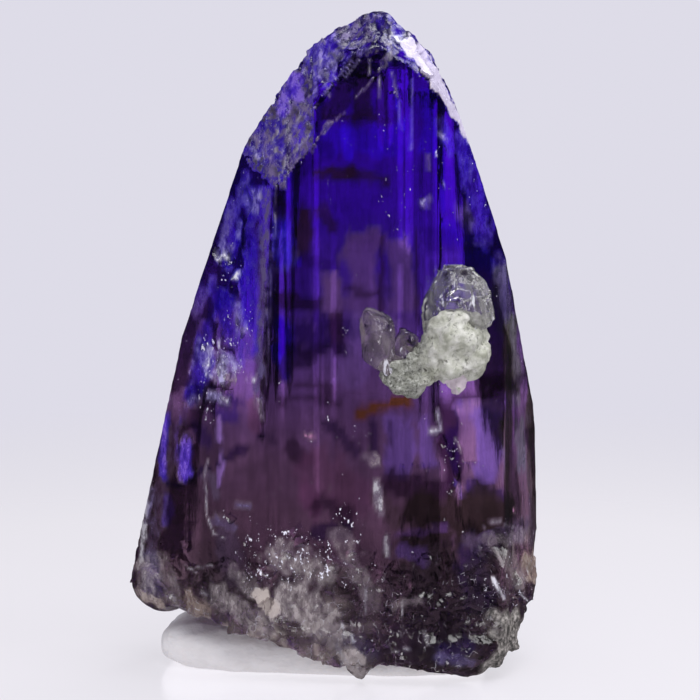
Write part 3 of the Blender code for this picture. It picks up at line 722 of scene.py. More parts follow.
def back_knob_places(tree):
    places = []
    for i in range(BACK_KNOBS):
        azimuth = 22.0 + 136.0 * i / (BACK_KNOBS - 1)
        turn = math.radians(azimuth)
        outward = Vector((math.cos(turn), math.sin(turn), 0.0))
        height = 3.0 + 1.2 * abs(noise.noise(Vector((i * 1.37, 0.0, 5.0)))) + 1.6 * abs(outward.x)
        start = outward * FAR + Vector((0.0, 0.0, height))
        point = tree.ray_cast(start, -outward)[0]
        radius = 1.8 + 0.7 * noise.noise(Vector((i * 2.1, 4.0, 0.0)))
        places.append((*(point - outward * radius * 0.85), radius, radius, radius * 0.7, 0.30))
    return places


def knob_shapes(tree):
    for seed, (x, y, z, *radii, uneven) in enumerate(FRONT_KNOBS + back_knob_places(tree)):
        bm = bmesh.new()
        jittered_ball(bm, (x, y, z), radii, 5, uneven, seed * 1.3, KNOB_GRAIN, 0.5)
        for vert in bm.verts:
            vert.co.z = lift_off_ground(vert.co.z, LIFT)
        yield bm


def foot_shapes():
    relief, size = FOOT_SHARD
    for seed, (x, y, z, *radii, narrow) in enumerate(FEET):
        bm = bmesh.new()
        jittered_ball(bm, (x, y, z), radii, 5, 0.20, seed * 2.9 + 0.7, KNOB_GRAIN, 0.4)
        for vert in bm.verts:
            wide = min(1.0, narrow + (1.0 - narrow) * max(0.0, vert.co.z - 0.25) / 1.2)
            vert.co.x = x + (vert.co.x - x) * wide
            outward = (vert.co - Vector((x, y, z))).normalized()
            vert.co += outward * relief * shards(vert.co, size, seed)
        slice_off(bm, Vector((0.0, 0.0, 0.0)), Vector((0.0, 0.0, -1.0)))
        bmesh.ops.triangulate(bm, faces=bm.faces)
        yield bm


def tip_step_cutter():
    azimuth, lean, shares = TIP_STEP
    bm = bmesh.new()
    bmesh.ops.create_cube(bm, size=FAR)
    bmesh.ops.translate(bm, vec=(TIP_RISER_X - FAR / 2, 0.0, HEIGHT), verts=bm.verts)
    slice_off(bm, Vector((TIP_RISER_X, 0.0, HEIGHT * 0.86)), Vector(TIP_RISER_NORMAL))
    slice_off(bm, in_place(shares), -face_normal(azimuth, lean))
    return bm


def add_boolean(obj, other, operation, name):
    modifier = obj.modifiers.new(name, "BOOLEAN")
    modifier.operation = operation
    modifier.solver = "MANIFOLD"
    modifier.object = other


def apply_modifiers(obj):
    bpy.context.view_layer.update()
    graph = bpy.context.evaluated_depsgraph_get()
    mesh = bpy.data.meshes.new_from_object(obj.evaluated_get(graph))
    obj.modifiers.clear()
    obj.data = mesh


def shade(obj, angle):
    obj.data.shade_smooth()
    obj.data.set_sharp_from_angle(angle=math.radians(angle))


class Nodes:
    """Short names for building a node tree."""

    def __init__(self, tree):
        self.tree = tree

    def link(self, value, socket):
        if isinstance(value, bpy.types.NodeSocket):
            self.tree.links.new(value, socket)
        elif isinstance(value, tuple) and socket.type == "RGBA" and len(value) == 3:
            socket.default_value = (*value, 1.0)
        else:
            socket.default_value = value

    def node(self, kind, output, inputs, **settings):
        """Adds a node, sets it up, links or sets its inputs, and gives one of its outputs."""
        node = self.tree.nodes.new("ShaderNode" + kind)
        for name, value in settings.items():
            setattr(node, name, value)
        for key, value in inputs.items():
            self.link(value, node.inputs[key])
        return node.outputs[output]

    def maths(self, operation, a, b, clamp=False):
        return self.node("Math", 0, {0: a, 1: b}, operation=operation, use_clamp=clamp)

    def times(self, a, b, clamp=False):
        return self.maths("MULTIPLY", a, b, clamp)

    def most(self, a, b):
        return self.maths("MAXIMUM", a, b)

    def vector(self, operation, a, b):
        return self.node("VectorMath", 0, {0: a, 1: b}, operation=operation)

    def between(self, value, low, high, to_low=0.0, to_high=1.0):
        ends = {"From Min": low, "From Max": high, "To Min": to_low, "To Max": to_high}
        return self.node("MapRange", "Result", {"Value": value, **ends}, clamp=True)

    def blend(self, share, a, b):
        return self.node("Mix", 0, {0: share, 2: a, 3: b}, data_type="FLOAT")

    def mix(self, share, a, b, kind="MIX"):
        settings = {"data_type": "RGBA", "blend_type": kind, "clamp_result": False}
        return self.node("Mix", 2, {0: share, 6: a, 7: b}, **settings)


class Surface(Nodes):
    """Short names for building a material, with patterns sized in millimetres."""

    def __init__(self, name):
        self.material = bpy.data.materials.new(name)
        self.material.use_nodes = True
        super().__init__(self.material.node_tree)
        self.shader = self.tree.nodes["Principled BSDF"]
        self.output = self.tree.nodes["Material Output"]
        metres = self.node("TexCoord", "Object", {})
        self.place = self.vector("MULTIPLY", metres, (1 / MM,) * 3)

    def stretched(self, scale):
        return self.vector("MULTIPLY", self.place, scale)

    def noise(self, scale, detail=3.0, roughness=0.55, distortion=0.0):
        looks = {"Detail": detail, "Roughness": roughness, "Distortion": distortion}
        return self.node("TexNoise", "Fac", {"Vector": self.stretched(scale), "Scale": 1.0, **looks})

    def shards(self, scale, warp):
        """Ragged flat patches: each one's settled number, and how far a point is from its edge."""
        even = {"Vector": self.stretched((scale,) * 3), "Scale": 0.8}
        bend = self.vector("MULTIPLY", self.node("TexNoise", "Color", even), (warp * 3.0,) * 3)
        where = self.vector("ADD", bend, self.stretched((scale, scale, scale * 0.8)))
        cells = {"Vector": where, "Scale": 1.0}
        settled = self.node("TexVoronoi", "Color", cells, feature="F1")
        edge = self.node("TexVoronoi", "Distance", cells, feature="DISTANCE_TO_EDGE")
        return self.node("SeparateXYZ", 0, {0: settled}), edge

    def ramp(self, value, stops):
        node = self.tree.nodes.new("ShaderNodeValToRGB")
        self.link(value, node.inputs[0])
        ramp = node.color_ramp
        while len(ramp.elements) < len(stops):
            ramp.elements.new(0.5)
        for element, (position, colour) in zip(ramp.elements, stops):
            element.position = position
            element.color = (*colour, 1.0)
        return node.outputs["Color"]

    def painted(self, name, output="Fac"):
        return self.node("Attribute", output, {}, attribute_name=name)

    def grey(self, value):
        return self.node("CombineXYZ", 0, {i: value for i in range(3)})

    def flecks(self, density):
        """Small ragged glints, more and larger where it is denser."""
        fine = self.noise((6.5, 6.5, 4.2), 3.0, 0.65)
        where = self.noise((1.7, 1.7, 1.3), 2.0)
        both = self.maths("ADD", fine, self.times(where, 0.5))
        least = self.maths("SUBTRACT", 1.00, self.times(density, 0.155))
        return self.times(self.maths("SUBTRACT", both, least), 16.0, clamp=True)

    def bump(self, heights, strength, distance, below=None):
        inputs = {"Height": heights, "Strength": strength, "Distance": distance}
        if below is not None:
            inputs["Normal"] = below
        return self.node("Bump", "Normal", inputs)

    def set(self, **values):
        for name, value in values.items():
            self.link(value, self.shader.inputs[name.replace("_", " ")])


def glass_colour(n, cloud):
    """The painted colour of the clear body, streaked along the crystal and clouded."""
    streak = n.noise((1.8, 1.8, 0.16), 4.0, 0.6)
    lit = n.between(streak, 0.33, 0.68, 0.66, 1.30)
    lit = n.times(lit, n.between(cloud, 0.3, 0.7, 0.75, 1.25))
    return n.mix(1.0, n.painted("glass", "Color"), n.grey(lit), "MULTIPLY")


def crust_colour(n):
    return n.ramp(n.noise((4.0,) * 3, 5.0, 0.7), [
        (0.34, (0.02, 0.02, 0.02)),
        (0.46, (0.11, 0.10, 0.09)),
        (0.60, (0.33, 0.30, 0.28)),
        (0.76, (0.66, 0.63, 0.58)),
    ])


def frost_share(n, cloud, patchy, rubble, chip):
    """The painted frost, patchy on faces and in flat chips where the crystal is broken."""
    on_faces = n.between(patchy, 0.38, 0.62, 0.45, 1.4)
    on_rubble = n.between(cloud, 0.35, 0.65, 0.70, 1.25)
    frost = n.times(n.painted("frost"), n.blend(rubble, on_faces, on_rubble))
    broken = n.maths("ADD", 0.65, n.times(chip, 0.7))
    return n.times(frost, n.blend(rubble, 1.0, broken), clamp=True)


def glint_share(n, patchy, rubble, edge):
    """Painted sparkles, and glints along the edges of broken chips."""
    glint = n.times(n.between(edge, 0.0, 0.05, 0.75, 0.0), n.between(patchy, 0.52, 0.60))
    return n.most(n.flecks(n.painted("sparkle")), n.times(glint, rubble))


def crystal_material():
    n = Surface("tanzanite_surface")
    crust = n.painted("crust")
    rubble = n.painted("rubble")
    cloud = n.noise((0.9,) * 3, 4.0, 0.6)
    patchy = n.noise((2.8, 2.8, 1.5), 4.0, 0.62)
    chip, edge = n.shards(2.6, 0.3)
    glint = glint_share(n, patchy, rubble, edge)
    grime = n.times(rubble, n.between(chip, 0.2, 1.0, 0.0, 0.35))
    skin = n.mix(grime, n.painted("skin", "Color"), (0.10, 0.08, 0.08))
    skin = n.mix(glint, skin, (0.9, 0.9, 1.0))
    frost = n.most(frost_share(n, cloud, patchy, rubble, chip), glint)
    colour = n.mix(frost, glass_colour(n, cloud), skin)
    colour = n.mix(crust, colour, crust_colour(n))
    roughness = n.times(frost, n.between(patchy, 0.3, 0.7, 0.16, 0.45))
    roughness = n.most(roughness, n.times(crust, 0.6))
    roughness = n.most(roughness, n.between(cloud, 0.35, 0.7, 0.03, 0.10))
    clear = n.blend(crust, n.blend(frost, 0.97, 0.06), 0.0)
    pits = n.times(n.noise((3.0,) * 3), n.maths("ADD", frost, crust, clamp=True))
    normal = n.bump(n.noise((16.0, 16.0, 0.6), 2.0), 0.15, 0.00005)
    normal = n.bump(pits, 0.4, 0.0002, normal)
    n.set(Base_Color=colour, Roughness=roughness, Normal=normal)
    n.set(Transmission_Weight=clear, IOR=CRYSTAL_IOR)
    body = n.node("VolumeAbsorption", 0, {"Color": BODY_TINT, "Density": BODY_DENSITY})
    n.link(body, n.output.inputs["Volume"])
    return n.material


def clear_material(name, tint, extra):
    n = Surface(name)
    cloud = n.noise((1.1, 1.1, 0.7), 5.0, 0.65, 0.6)
    veil_and_sheen = n.between(cloud, 0.50, 0.66, 0.01 + extra, 0.22 + extra)
    white = n.between(n.noise((2.5, 2.5, 0.8), 4.0, 0.6), 0.61, 0.68, 0.0, 0.7)
    colour = n.mix(veil_and_sheen, tint, (0.26, 0.23, 0.28))
    colour = n.mix(white, colour, (0.85, 0.88, 0.95))
    colour = n.mix(n.between(cloud, 0.36, 0.43, 1.0, 0.0), colour, (0.10, 0.08, 0.13))
    clear = n.maths("SUBTRACT", 0.96, n.most(veil_and_sheen, white), clamp=True)
    normal = n.bump(n.noise((6.0, 6.0, 2.0)), 0.25, 0.0001)
    n.set(Base_Color=colour, Roughness=n.between(cloud, 0.4, 0.7, 0.02, 0.20), Normal=normal)
    n.set(Transmission_Weight=clear, IOR=CLUSTER_IOR)
    return n.material


def lump_material():
    n = Surface("pale_lump_surface")
    mottle = n.noise((1.6,) * 3, 5.0, 0.65)
    colour = n.ramp(mottle, [
        (0.34, (0.36, 0.37, 0.29)),
        (0.46, (0.53, 0.54, 0.45)),
        (0.58, (0.66, 0.66, 0.59)),
        (0.74, (0.86, 0.86, 0.80)),
    ])
    fine = n.noise((7.0,) * 3, 4.0, 0.7)
    grey = n.ramp(fine, [
        (0.36, (0.09, 0.09, 0.075)),
        (0.50, (0.32, 0.33, 0.28)),
        (0.66, (0.66, 0.66, 0.61)),
    ])
    colour = n.mix(n.painted("grey"), colour, grey)
    # Painted shade in the low places between the grains and in the gap between lumps.
    pit_shade = n.times(n.painted("low"), n.between(fine, 0.50, 0.60), clamp=True)
    colour = n.mix(pit_shade, colour, (0.12, 0.12, 0.09))
    colour = n.mix(n.painted("pink"), colour, (0.78, 0.68, 0.74))
    roughness = n.between(mottle, 0.3, 0.7, 0.30, 0.6)
    n.set(Base_Color=colour, Roughness=roughness, Normal=n.bump(fine, 0.5, 0.0001))
    n.set(Transmission_Weight=0.10, IOR=LUMP_IOR)
    return n.material


def putty_material():
    n = Surface("putty_surface")
    dent = n.noise((0.9, 0.9, 1.4), 4.0)
    fine = n.noise((5.0, 5.0, 7.0), 4.0, 0.6)
    colour = n.mix(n.between(dent, 0.35, 0.7), (0.95, 0.93, 0.92), (0.86, 0.84, 0.83))
    normal = n.bump(fine, 0.35, 0.0001, n.bump(dent, 0.5, 0.0004))
    n.set(Base_Color=colour, Roughness=n.between(fine, 0.3, 0.7, 0.5, 0.75), Normal=normal)
    n.set(Subsurface_Weight=0.15, Subsurface_Radius=(1.0, 0.9, 0.8), Subsurface_Scale=0.0006)
    return n.material


def mesh_points(obj):
    """Places of a mesh's points in the drawing's millimetres, and their directions."""
    count = len(obj.data.vertices)
    places = np.empty(count * 3)
    obj.data.vertices.foreach_get("co", places)
    directions = np.empty(count * 3)
    obj.data.vertex_normals.foreach_get("vector", directions)
    return places.reshape(-1, 3) * (1 / MM) - np.array(SHIFT), directions.reshape(-1, 3)


def store(obj, name, values):
    if values.ndim == 1:
        attribute = obj.data.attributes.new(name, "FLOAT", "POINT")
        attribute.data.foreach_set("value", values)
        return
    attribute = obj.data.attributes.new(name, "FLOAT_COLOR", "POINT")
    attribute.data.foreach_set("color", np.hstack([values, np.ones((len(values), 1))]).ravel())


def noise_at(points, scale, seed=0.0):
    return np.array([noise.noise(Vector(row)) for row in points * np.array(scale) + seed])


def by_height(height, rows):
    levels = [row[0] for row in rows]
    channels = [np.interp(height, levels, [row[1][i] for row in rows]) for i in range(3)]
    return np.stack(channels, axis=1)


def bars(x, z, width, tall, seed):
    """Upright blocks side by side, each of one settled number between 0 and 1."""
    column = np.floor(x / width)
    shift = np.sin(column * 12.9898 + seed) * 43758.5453 % 1.0
    row = np.floor(z / tall + shift * 7.0)
    return np.sin(column * 39.425 + row * 78.233 + seed) * 24634.6345 % 1.0


def eased(values, start, length):
    """The same as ease, for all points at once."""
    return np.clip((values - start) / length, 0.0, 1.0)


def camera_stand():
    """Which way the camera lies from its aim, which way is up for it, and the aim itself."""
    rise = math.radians(CAMERA_RISE)
    away = Vector((0.0, -math.cos(rise), math.sin(rise)))
    up = Vector((0.0, math.sin(rise), math.cos(rise)))
    return away, up, Vector((CAMERA_AIM[0], 0.0, 0.0)) + up * CAMERA_AIM[1]


def way_in(eye, sight, faces):
    """How far along a line of sight it enters the block that the faces bound."""
    farthest = -math.inf
    for _, azimuth, lean, shares in faces:
        normal = face_normal(azimuth, lean)
        if normal.dot(sight) < 0.0:
            farthest = max(farthest, normal.dot(in_place(shares) - eye) / normal.dot(sight))
    return farthest


def seen_at(column, row):
    """The place on the ideal crystal that a pixel of the photo shows, in the drawing."""
    away, up, aim = camera_stand()
    eye = aim + away * CAMERA_DISTANCE - SHIFT
    middle = PHOTO_SIZE / 2
    sight = up * ((middle - row) * PIXEL) - away * CAMERA_DISTANCE
    sight.x += (column - middle) * PIXEL
    place = eye + sight * way_in(eye, sight, FACES)
    azimuth, lean, shares = TIP_STEP
    above_step = face_normal(azimuth, lean).dot(place - in_place(shares)) > 0.0
    if place.x < TIP_RISER_X and above_step:
        place = eye + sight * way_in(eye, sight, STEPPED_FACES)
    return place


def in_drawing(stroke):
    """X and Z of a stroke's ends and its half width, in the drawing's millimetres."""
    _, left, top, right, bottom, half_width, _ = stroke
    away, _, aim = camera_stand()
    first, last = seen_at(left, top), seen_at(right, bottom)
    middle = seen_at((left + right) / 2, (top + bottom) / 2)
    share = 1.0 - away.dot(middle + SHIFT - aim) / CAMERA_DISTANCE
    return first.x, first.z, last.x, last.z, half_width * PIXEL * share


def stroke_share(x, z, stroke, wobble):
    """How far each point belongs to a stroke, from 0 outside it to its strength within."""
    x0, z0, x1, z1, half_width = in_drawing(stroke)
    length = max(math.hypot(x1 - x0, z1 - z0), 0.001)
    along_x, along_z = (x1 - x0) / length, (z1 - z0) / length
    from_x, from_z = x - (x0 + x1) / 2, z - (z0 + z1) / 2
    along = np.maximum(np.abs(from_x * along_x + from_z * along_z) - length / 2, 0.0)
    across = np.abs(from_x * along_z - from_z * along_x)
    reach = (along**3 + across**3) ** (1 / 3)
    soft = 0.06 + 0.36 * half_width
    inside = (half_width * (1.0 + 0.7 * wobble) - reach) / soft + 0.5
    return np.clip(inside, 0.0, 1.0) * stroke[-1]


def face_distances(points):
    """How far each point lies from the plane of each face, above 0 outside it."""
    columns = []
    for _, azimuth, lean, shares in STEPPED_FACES:
        from_face = points - np.array(in_place(shares))
        columns.append(from_face @ np.array(face_normal(azimuth, lean)))
    return np.stack(columns, axis=1)


def turned_aside(x, z, normals):
    """Where the long way through the crystal behind a side face darkens it."""
    right = eased(normals[:, 0], 0.15, 0.25)
    left = eased(x, -7.2, -0.6)
    upper_left = eased(normals[:, 0], -0.25, -0.15) * eased(z, 14.0, 2.0)
    return np.maximum(right, np.maximum(left, upper_left)) * eased(z, 3.0, 3.0)


def glass_colours(points, normals):
    """The clear body's colours: what front and back let through together is what is seen."""
    x, z = points[:, 0], points[:, 2]
    wobble = 0.7 * noise_at(points, (1.3, 1.3, 0.9), 3.0)
    wobble += 0.4 * noise_at(points, (4.5, 4.5, 3.0), 8.0)
    drift = 2.2 * noise_at(points, (0.30, 0.30, 0.12), 11.0)
    dull = eased(x, -5.2, -1.2) * eased(z, 14.6, -1.2) * eased(z, 4.0, 2.0)
    through = by_height(z + drift, THROUGH) * (1.0 - 0.40 * dull[:, None])
    x = x + 0.30 * noise_at(points, (0.9, 0.9, 0.7), 17.0)
    z = z + 0.40 * noise_at(points, (0.8,) * 3, 27.0)
    z = z + 0.12 * noise_at(points, (3.0, 3.0, 1.0), 37.0)
    back = by_height(z + drift, BACK)
    blocks = sum(share * bars(x, z, wide, tall, seed) for share, wide, tall, seed in BARS)
    lit = (0.40 + 1.20 * blocks)[:, None]
    for stroke in GLASS_STROKES:
        share = stroke_share(x, z, stroke, wobble)[:, None]
        through = through * (1.0 - share) + np.array(GLASS_COLOURS[stroke[0]]) * share
    facing = eased(normals[:, 1], 0.20, -0.4)[:, None]
    # Painted light: faces turned aside are painted lighter, against the shade of the long way through.
    through = through * (1.0 + (SIDE_BOOST - 1.0) * turned_aside(x, z, normals)[:, None])
    near = (through * (0.55 + 0.45 * lit)) ** 2 / back
    far = back * (0.6 + 0.4 * lit)
    return np.clip(near * facing + far * (1.0 - facing), 0.0, 1.0)


def broken_skin(points, normals, apart):
    """Colour, frost and rubble of the broken base and of chips, before any stroke."""
    x, z = points[:, 0], points[:, 2]
    tone = np.clip(0.75 + 0.9 * noise_at(points, (0.5, 0.5, 0.8), 41.0), 0.35, 1.3)
    skin = np.array(BROKEN_STONE) * tone[:, None]
    cloudy = 0.5 + noise_at(points, (0.7, 0.7, 0.9), 21.0)
    cloudy += 0.5 * noise_at(points, (2.4,) * 3, 31.0)
    left = np.clip((3.0 - x) / 4.0, 0.15, 1.0)
    base = eased(z - 0.12 * x, 7.2, -4.0)
    frost = base * np.clip(cloudy, 0.40, 1.0) * left
    rubble = np.clip(base * 1.4 * (0.4 + cloudy), 0.0, 1.0)
    inward = -apart[:, :-1].max(axis=1)
    chipped = np.where(normals[:, 1] < FRONT_BELOW, 0.22, 0.14)
    chipped = eased(inward, 0.24, 0.30) * (z > 9.0) * (z < 26.5) * chipped
    skin[chipped > frost] = SKIN_COLOURS["pale"]
    return skin, np.maximum(frost, chipped), rubble


def tip_shine(points):
    """Slanted streaks of lighter and darker frost."""
    across = points @ np.array((0.75, 0.0, 0.66))
    along = (points[:, 2] - points[:, 0]) * 0.5
    slanted = np.stack([across * 2.6, points[:, 1], along], axis=1)
    shine = 1.0 + 0.8 * noise_at(slanted, (1.0,) * 3, 51.0)
    shine += noise_at(slanted, (1.7, 1.7, 0.8), 61.0)
    return np.clip(shine, 0.40, 2.2)


def frost_tip(points, normals, apart, skin, frost):
    """Writes the frost of the tip's slopes over skin and frost, and the painted reflection on
    tip_right.
    """
    nearest = np.abs(apart).argmin(axis=1)
    shine = tip_shine(points)
    for place, (name, azimuth, lean, _) in enumerate(STEPPED_FACES):
        if name not in TIP_SKIN:
            continue
        colour, strength = TIP_SKIN[name]
        facing = normals @ np.array(face_normal(azimuth, lean))
        here = (nearest == place) & (points[:, 2] > TIP_FROM) & (facing > 0.35)
        skin[here] = np.array(colour) * shine[here, None]
        frost[here] = strength


def lay_strokes(points, normals, wobble, skin, frost, rubble):
    """The skin with its strokes; a weak one tints strong frost only a little."""
    for stroke in SKIN_STROKES:
        share = stroke_share(points[:, 0], points[:, 2], stroke, wobble)
        share = share * (normals[:, 1] < FRONT_BELOW)
        if stroke[0] == "bare":
            frost = frost * (1.0 - share)
            continue
        weight = np.clip(share / np.maximum(frost, 0.25), 0.0, 1.0)[:, None] ** 2
        skin = skin * (1.0 - weight) + np.array(SKIN_COLOURS[stroke[0]]) * weight
        frost = np.maximum(frost, share)
        if stroke[0] == "cream":
            rubble = rubble * (1.0 - np.clip(share, 0.0, 1.0))
    return skin, frost, rubble


def sparkle_density(points, normals, wobble):
    sparkle = np.full(len(points), NO_SPARKLE)
    for x, z, wide, tall, dense in SPARKLES:
        reach = np.hypot((points[:, 0] - x) / wide, (points[:, 2] - z) / tall) + 0.35 * wobble
        sparkle = np.maximum(sparkle, eased(reach, 1.15, -0.4) * dense)
    return np.where(normals[:, 1] < FRONT_BELOW, sparkle, NO_SPARKLE)


def crust_share(points):
    reach = np.linalg.norm(points - np.array(CRUST_MIDDLE), axis=1)
    return eased(reach - 0.9 * noise_at(points, (1.2,) * 3), CRUST_REACH, -0.5)


def paint_crystal(obj):
    points, normals = mesh_points(obj)
    apart = face_distances(points)
    wobble = noise_at(points, (2.2, 2.2, 1.6), 5.0)
    skin, frost, rubble = broken_skin(points, normals, apart)
    frost_tip(points, normals, apart, skin, frost)
    skin, frost, rubble = lay_strokes(points, normals, wobble, skin, frost, rubble)
    store(obj, "glass", glass_colours(points, normals))
    store(obj, "skin", skin)
    store(obj, "frost", frost)
    store(obj, "sparkle", sparkle_density(points, normals, wobble))
    store(obj, "crust", crust_share(points))
    store(obj, "rubble", rubble)


def scored(obj):
    """The object's mesh in the drawing, with lines all over it for the finer shapes."""
    bm = bmesh.new()
    bm.from_mesh(obj.data)
    bmesh.ops.scale(bm, vec=(1 / MM,) * 3, verts=bm.verts)
    bmesh.ops.translate(bm, vec=-SHIFT, verts=bm.verts)
    score(bm, 0, -HALF_WIDTH * 1.1, HALF_WIDTH * 1.1, COLUMN)
    score(bm, 1, -HALF_DEPTH * 1.1, HALF_DEPTH * 1.1, SIDE_COLUMN)
    for low, high in ((0.0, HEIGHT), *FINE_ROWS):
        score(bm, 2, low, high, ROW)
    bmesh.ops.remove_doubles(bm, verts=bm.verts, dist=SAME_PLACE)
    return bm


def wear(bm):
    axes = {"use_axis_x": True, "use_axis_y": True, "use_axis_z": True}
    for _ in range(WORN_ROUNDS):
        bmesh.ops.smooth_vert(bm, verts=bm.verts, factor=0.5, **axes)


def make_crystal(pieces, helpers):
    blank = faceted_blank()
    tree = BVHTree.FromBMesh(blank)
    obj = object_from(blank, "crystal_body", pieces)
    step = helper_from(tip_step_cutter(), "step_cutter", helpers)
    add_boolean(obj, step, "DIFFERENCE", "Tip step")
    apply_modifiers(obj)
    bm = scored(obj)
    wear(bm)
    roughen(bm)
    bmesh.ops.triangulate(bm, faces=bm.faces)
    bpy.data.objects.remove(obj)
    obj = object_from(bm, "crystal_body", pieces)
    for shapes, operation in (
        (knob_shapes(tree), "UNION"),
        (chip_shapes(tree), "DIFFERENCE"),
        (foot_shapes(), "UNION"),
    ):
        for i, shape in enumerate(shapes):
            add_boolean(obj, helper_from(shape, "shape", helpers), operation, f"{operation} {i}")
    apply_modifiers(obj)
    paint_crystal(obj)
    shade(obj, 35)
    obj.data.materials.clear()
    obj.data.materials.append(crystal_material())
    return obj


def worn_block(centre, half, roll, worn, faces):
    """A stubby crystal whose edges are rubbed round."""
    bm = bmesh.new()
    bmesh.ops.create_cube(bm, size=2.0)
    bmesh.ops.scale(bm, vec=half, verts=bm.verts)
    for direction, distance in faces:
        normal = Vector(direction).normalized()
        slice_off(bm, normal * distance, normal)
    bmesh.ops.remove_doubles(bm, verts=bm.verts, dist=0.02)
    edges = bm.edges[:] + bm.verts[:]
    bmesh.ops.bevel(bm, geom=edges, offset=worn, segments=3, affect="EDGES", clamp_overlap=True)
    place = Matrix.Translation(centre) @ Matrix.Rotation(math.radians(roll), 4, "Y")
    bmesh.ops.transform(bm, matrix=place, verts=bm.verts)
    return bm


def even_mesh(obj):
    """Gives an object one skin of small even faces."""
    remesh = obj.modifiers.new("Even mesh", "REMESH")
    remesh.mode = "VOXEL"
    remesh.voxel_size = CLUSTER_VOXEL * MM
    apply_modifiers(obj)


def shards_at(points, size, seed):
    return np.array([shards(Vector(point), size, seed) for point in points])


def swell(obj, points, normals, rise):
    moved = (points + normals * rise[:, None] + np.array(SHIFT)) * MM
    obj.data.vertices.foreach_set("co", moved.ravel())
    obj.data.update()


def make_clear_crystals(pieces):
    colourless = clear_material("clear_crystal_surface", (0.80, 0.79, 0.78), 0.02)
    mauve = clear_material("mauve_crystal_surface", (0.58, 0.48, 0.56), 0.05)
    for i, crystal in enumerate(CLEAR_CRYSTALS):
        obj = object_from(worn_block(*crystal), f"cluster_crystal_{i + 1}", pieces)
        obj.data.materials.append(mauve if i else colourless)
        even_mesh(obj)
        points, normals = mesh_points(obj)
        uneven = noise_at(points, (0.8,) * 3, i + 1.0)
        swell(obj, points, normals, 0.10 * shards_at(points, 1.1, i + 3.0) + 0.10 * uneven)
        shade(obj, 30)
        yield obj


def make_lumps(pieces):
    """The chalky lumps as one skin, sugary with small grains, with painted shade in pits between them.
    """
    bm = bmesh.new()
    for seed, (centre, radii) in enumerate(CLUSTER_LUMPS):
        jittered_ball(bm, centre, radii, 4, 0.35, seed + 7.3)
    obj = object_from(bm, "cluster_lumps", pieces)
    even_mesh(obj)
    points, normals = mesh_points(obj)
    fine = noise_at(points, (3.2,) * 3, 1.0) + 0.5 * noise_at(points, (8.0,) * 3, 2.0)
    broad = noise_at(points, (1.1,) * 3, 4.0)
    grain = np.array([grains(Vector(point), 0.75) for point in points])
    grey = np.clip((4.9 - points[:, 0]) / 0.8 + 0.8 * fine, 0.0, 1.0)
    rise = (0.03 + 0.09 * grey) * grain + 0.05 * fine + 0.12 * broad
    swell(obj, points, normals, rise + 0.16 * shards_at(points, 0.9, 11.0))
    from_gap = (points[:, (0, 2)] - np.array(LUMP_GAP)) / np.array(LUMP_GAP_REACH)
    gap_shade = np.clip(1.0 - np.linalg.norm(from_gap, axis=1), 0.0, 1.0)
    from_pink = np.linalg.norm(points - np.array(CLUSTER_LUMPS[-1][0]), axis=1)
    # low holds where shade is painted: the gap between lumps and the hollows between grains.
    store(obj, "low", np.clip(0.20 + 1.4 * gap_shade - 1.6 * fine - 1.2 * grain, 0.0, 1.0))
    store(obj, "grey", grey)
    store(obj, "pink", (from_pink < PINK_REACH) * 1.0)
    obj.data.materials.append(lump_material())
    shade(obj, 60)
    return obj


def rounded(value, power):
    return math.copysign(abs(value) ** power, value)


def pad_point(x, y, z):
    """Where a point of a ball of radius 1 goes on the pressed putty, before its turn."""
    plan, section = PAD_CORNERS
    turn = math.atan2(y, x)
    reach = math.hypot(x, y) ** section
    thickness = PAD_THICKNESS * (1.0 - PAD_THINNER * (0.5 + 0.5 * x))
    thickness *= 1.0 + 0.12 * noise.noise(Vector((x * 2.5, y * 2.5, 0.0)))
    level, bulge = PAD_LEVELS
    place = Vector((
        PAD_HALF_LENGTH * rounded(math.cos(turn), plan) * reach,
        PAD_HALF_WIDTH * rounded(math.sin(turn), plan) * reach,
        thickness * (level + bulge * rounded(z, section)),
    ))
    dent = noise.noise(place * 0.8) * 0.14 + noise.noise(place * 2.2) * 0.05
    return place + Vector((x, y, z)) * dent


def make_pad(pieces):
    bm = bmesh.new()
    bmesh.ops.create_uvsphere(bm, u_segments=144, v_segments=56, radius=1.0)
    for vert in bm.verts:
        vert.co = pad_point(*vert.co)
    slice_off(bm, Vector((0.0, 0.0, 0.0)), Vector((0.0, 0.0, -1.0)))
    turned = Matrix.Rotation(math.radians(PAD_TURN), 4, "Z")
    place = Matrix.Translation((*PAD_MIDDLE, 0.0)) @ turned
    bmesh.ops.transform(bm, matrix=place, verts=bm.verts)
    obj = object_from(bm, "putty_body", pieces)
    obj.data.materials.append(putty_material())
    shade(obj, 60)
    return obj


def floor_material():
    """A pale glowing floor that fades out with distance, so that it has no edge."""
    n = Surface("floor_surface")
    n.set(Base_Color=(0.25, 0.245, 0.26), Roughness=0.18, Specular_IOR_Level=0.12)
    n.set(Emission_Color=FLOOR, Emission_Strength=FLOOR_GLOW)
    away = n.node("VectorMath", "Value", {0: n.place}, operation="LENGTH")
    clear = n.node("BsdfTransparent", 0, {})
    shaders = {0: n.between(away, *FLOOR_FADE), 1: n.shader.outputs[0], 2: clear}
    n.link(n.node("MixShader", 0, shaders), n.output.inputs["Surface"])
    return n.material


def make_floor():
    bm = bmesh.new()
    bmesh.ops.create_circle(bm, cap_ends=True, segments=96, radius=FLOOR_RADIUS)
    bmesh.ops.translate(bm, vec=(0.0, 0.0, -FLOOR_DROP), verts=bm.verts)
    bmesh.ops.scale(bm, vec=(MM, MM, MM), verts=bm.verts)
    mesh = bpy.data.meshes.new("floor")
    bm.to_mesh(mesh)
    bm.free()
    floor = bpy.data.objects.new("floor", mesh)
    bpy.context.scene.collection.objects.link(floor)
    mesh.materials.append(floor_material())
    floor.visible_glossy = False


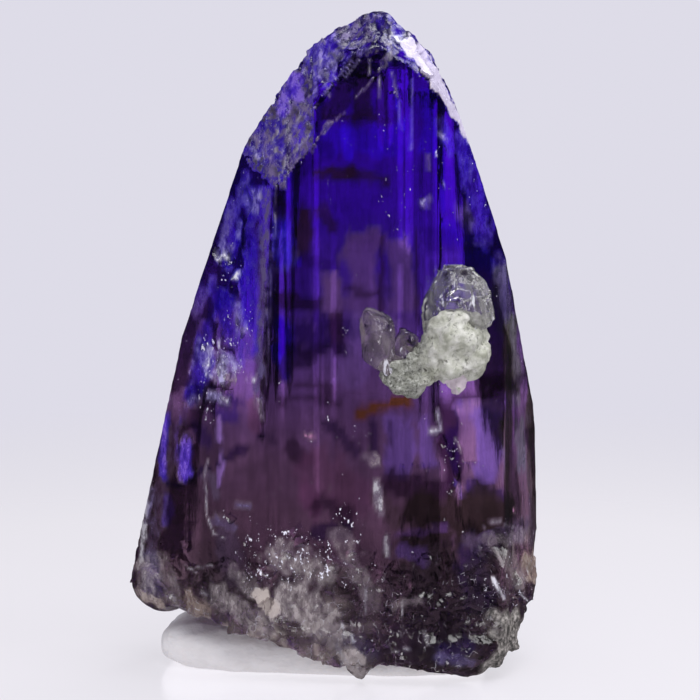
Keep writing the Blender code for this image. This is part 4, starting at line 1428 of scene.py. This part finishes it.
def make_backdrop():
    """A backdrop that is bright to the camera and through the crystal, but dim in gloss."""
    world = bpy.data.worlds.new("studio")
    bpy.context.scene.world = world
    world.use_nodes = True
    n = Nodes(world.node_tree)
    background = n.tree.nodes["Background"]
    n.link(BACKDROP, background.inputs["Color"])
    strength = BACKDROP_LEAST
    for name, share in BACKDROP_SHARES:
        strength = n.most(n.times(n.node("LightPath", name, {}), share), strength)
    n.link(strength, background.inputs["Strength"])


def area_light(name, azimuth, elevation, distance, size, power):
    """A soft light at a direction from the object, aimed at its middle."""
    light = bpy.data.lights.new(name, "AREA")
    light.shape = "RECTANGLE"
    light.size, light.size_y = size[0] * MM, size[1] * MM
    light.energy = power
    lamp = bpy.data.objects.new(name, light)
    bpy.context.scene.collection.objects.link(lamp)
    turn, rise = math.radians(azimuth), math.radians(elevation)
    flat = math.cos(rise)
    away = Vector((math.sin(turn) * flat, -math.cos(turn) * flat, math.sin(rise)))
    lamp.location = (away * distance + Vector((0.0, 0.0, LIGHT_AIM))) * MM
    lamp.rotation_euler = away.to_track_quat("Z", "Y").to_euler()


def make_camera():
    camera = bpy.data.cameras.new("camera")
    camera.sensor_width = SENSOR
    camera.lens = CAMERA_DISTANCE * SENSOR / (PHOTO_SIZE * PIXEL)
    camera.clip_start = MM
    obj = bpy.data.objects.new("camera", camera)
    bpy.context.scene.collection.objects.link(obj)
    away, _, aim = camera_stand()
    obj.location = (aim + away * CAMERA_DISTANCE) * MM
    obj.rotation_euler = away.to_track_quat("Z", "Y").to_euler()
    bpy.context.scene.camera = obj


def dress(obj, node):
    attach(obj, "root")
    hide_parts(node)


def main():
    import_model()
    pieces = new_collection("pieces")
    helpers = new_collection("helpers")
    dress(make_crystal(pieces, helpers), "tanzanite_crystal")
    for obj in (*make_clear_crystals(pieces), make_lumps(pieces)):
        dress(obj, "side_cluster")
    dress(make_pad(pieces), "putty_pad")
    for obj in list(helpers.objects):
        bpy.data.objects.remove(obj)
    make_floor()
    make_backdrop()
    for light in LIGHTS:
        area_light(*light)
    make_camera()
    bpy.context.scene.view_settings.view_transform = "Standard"


main()
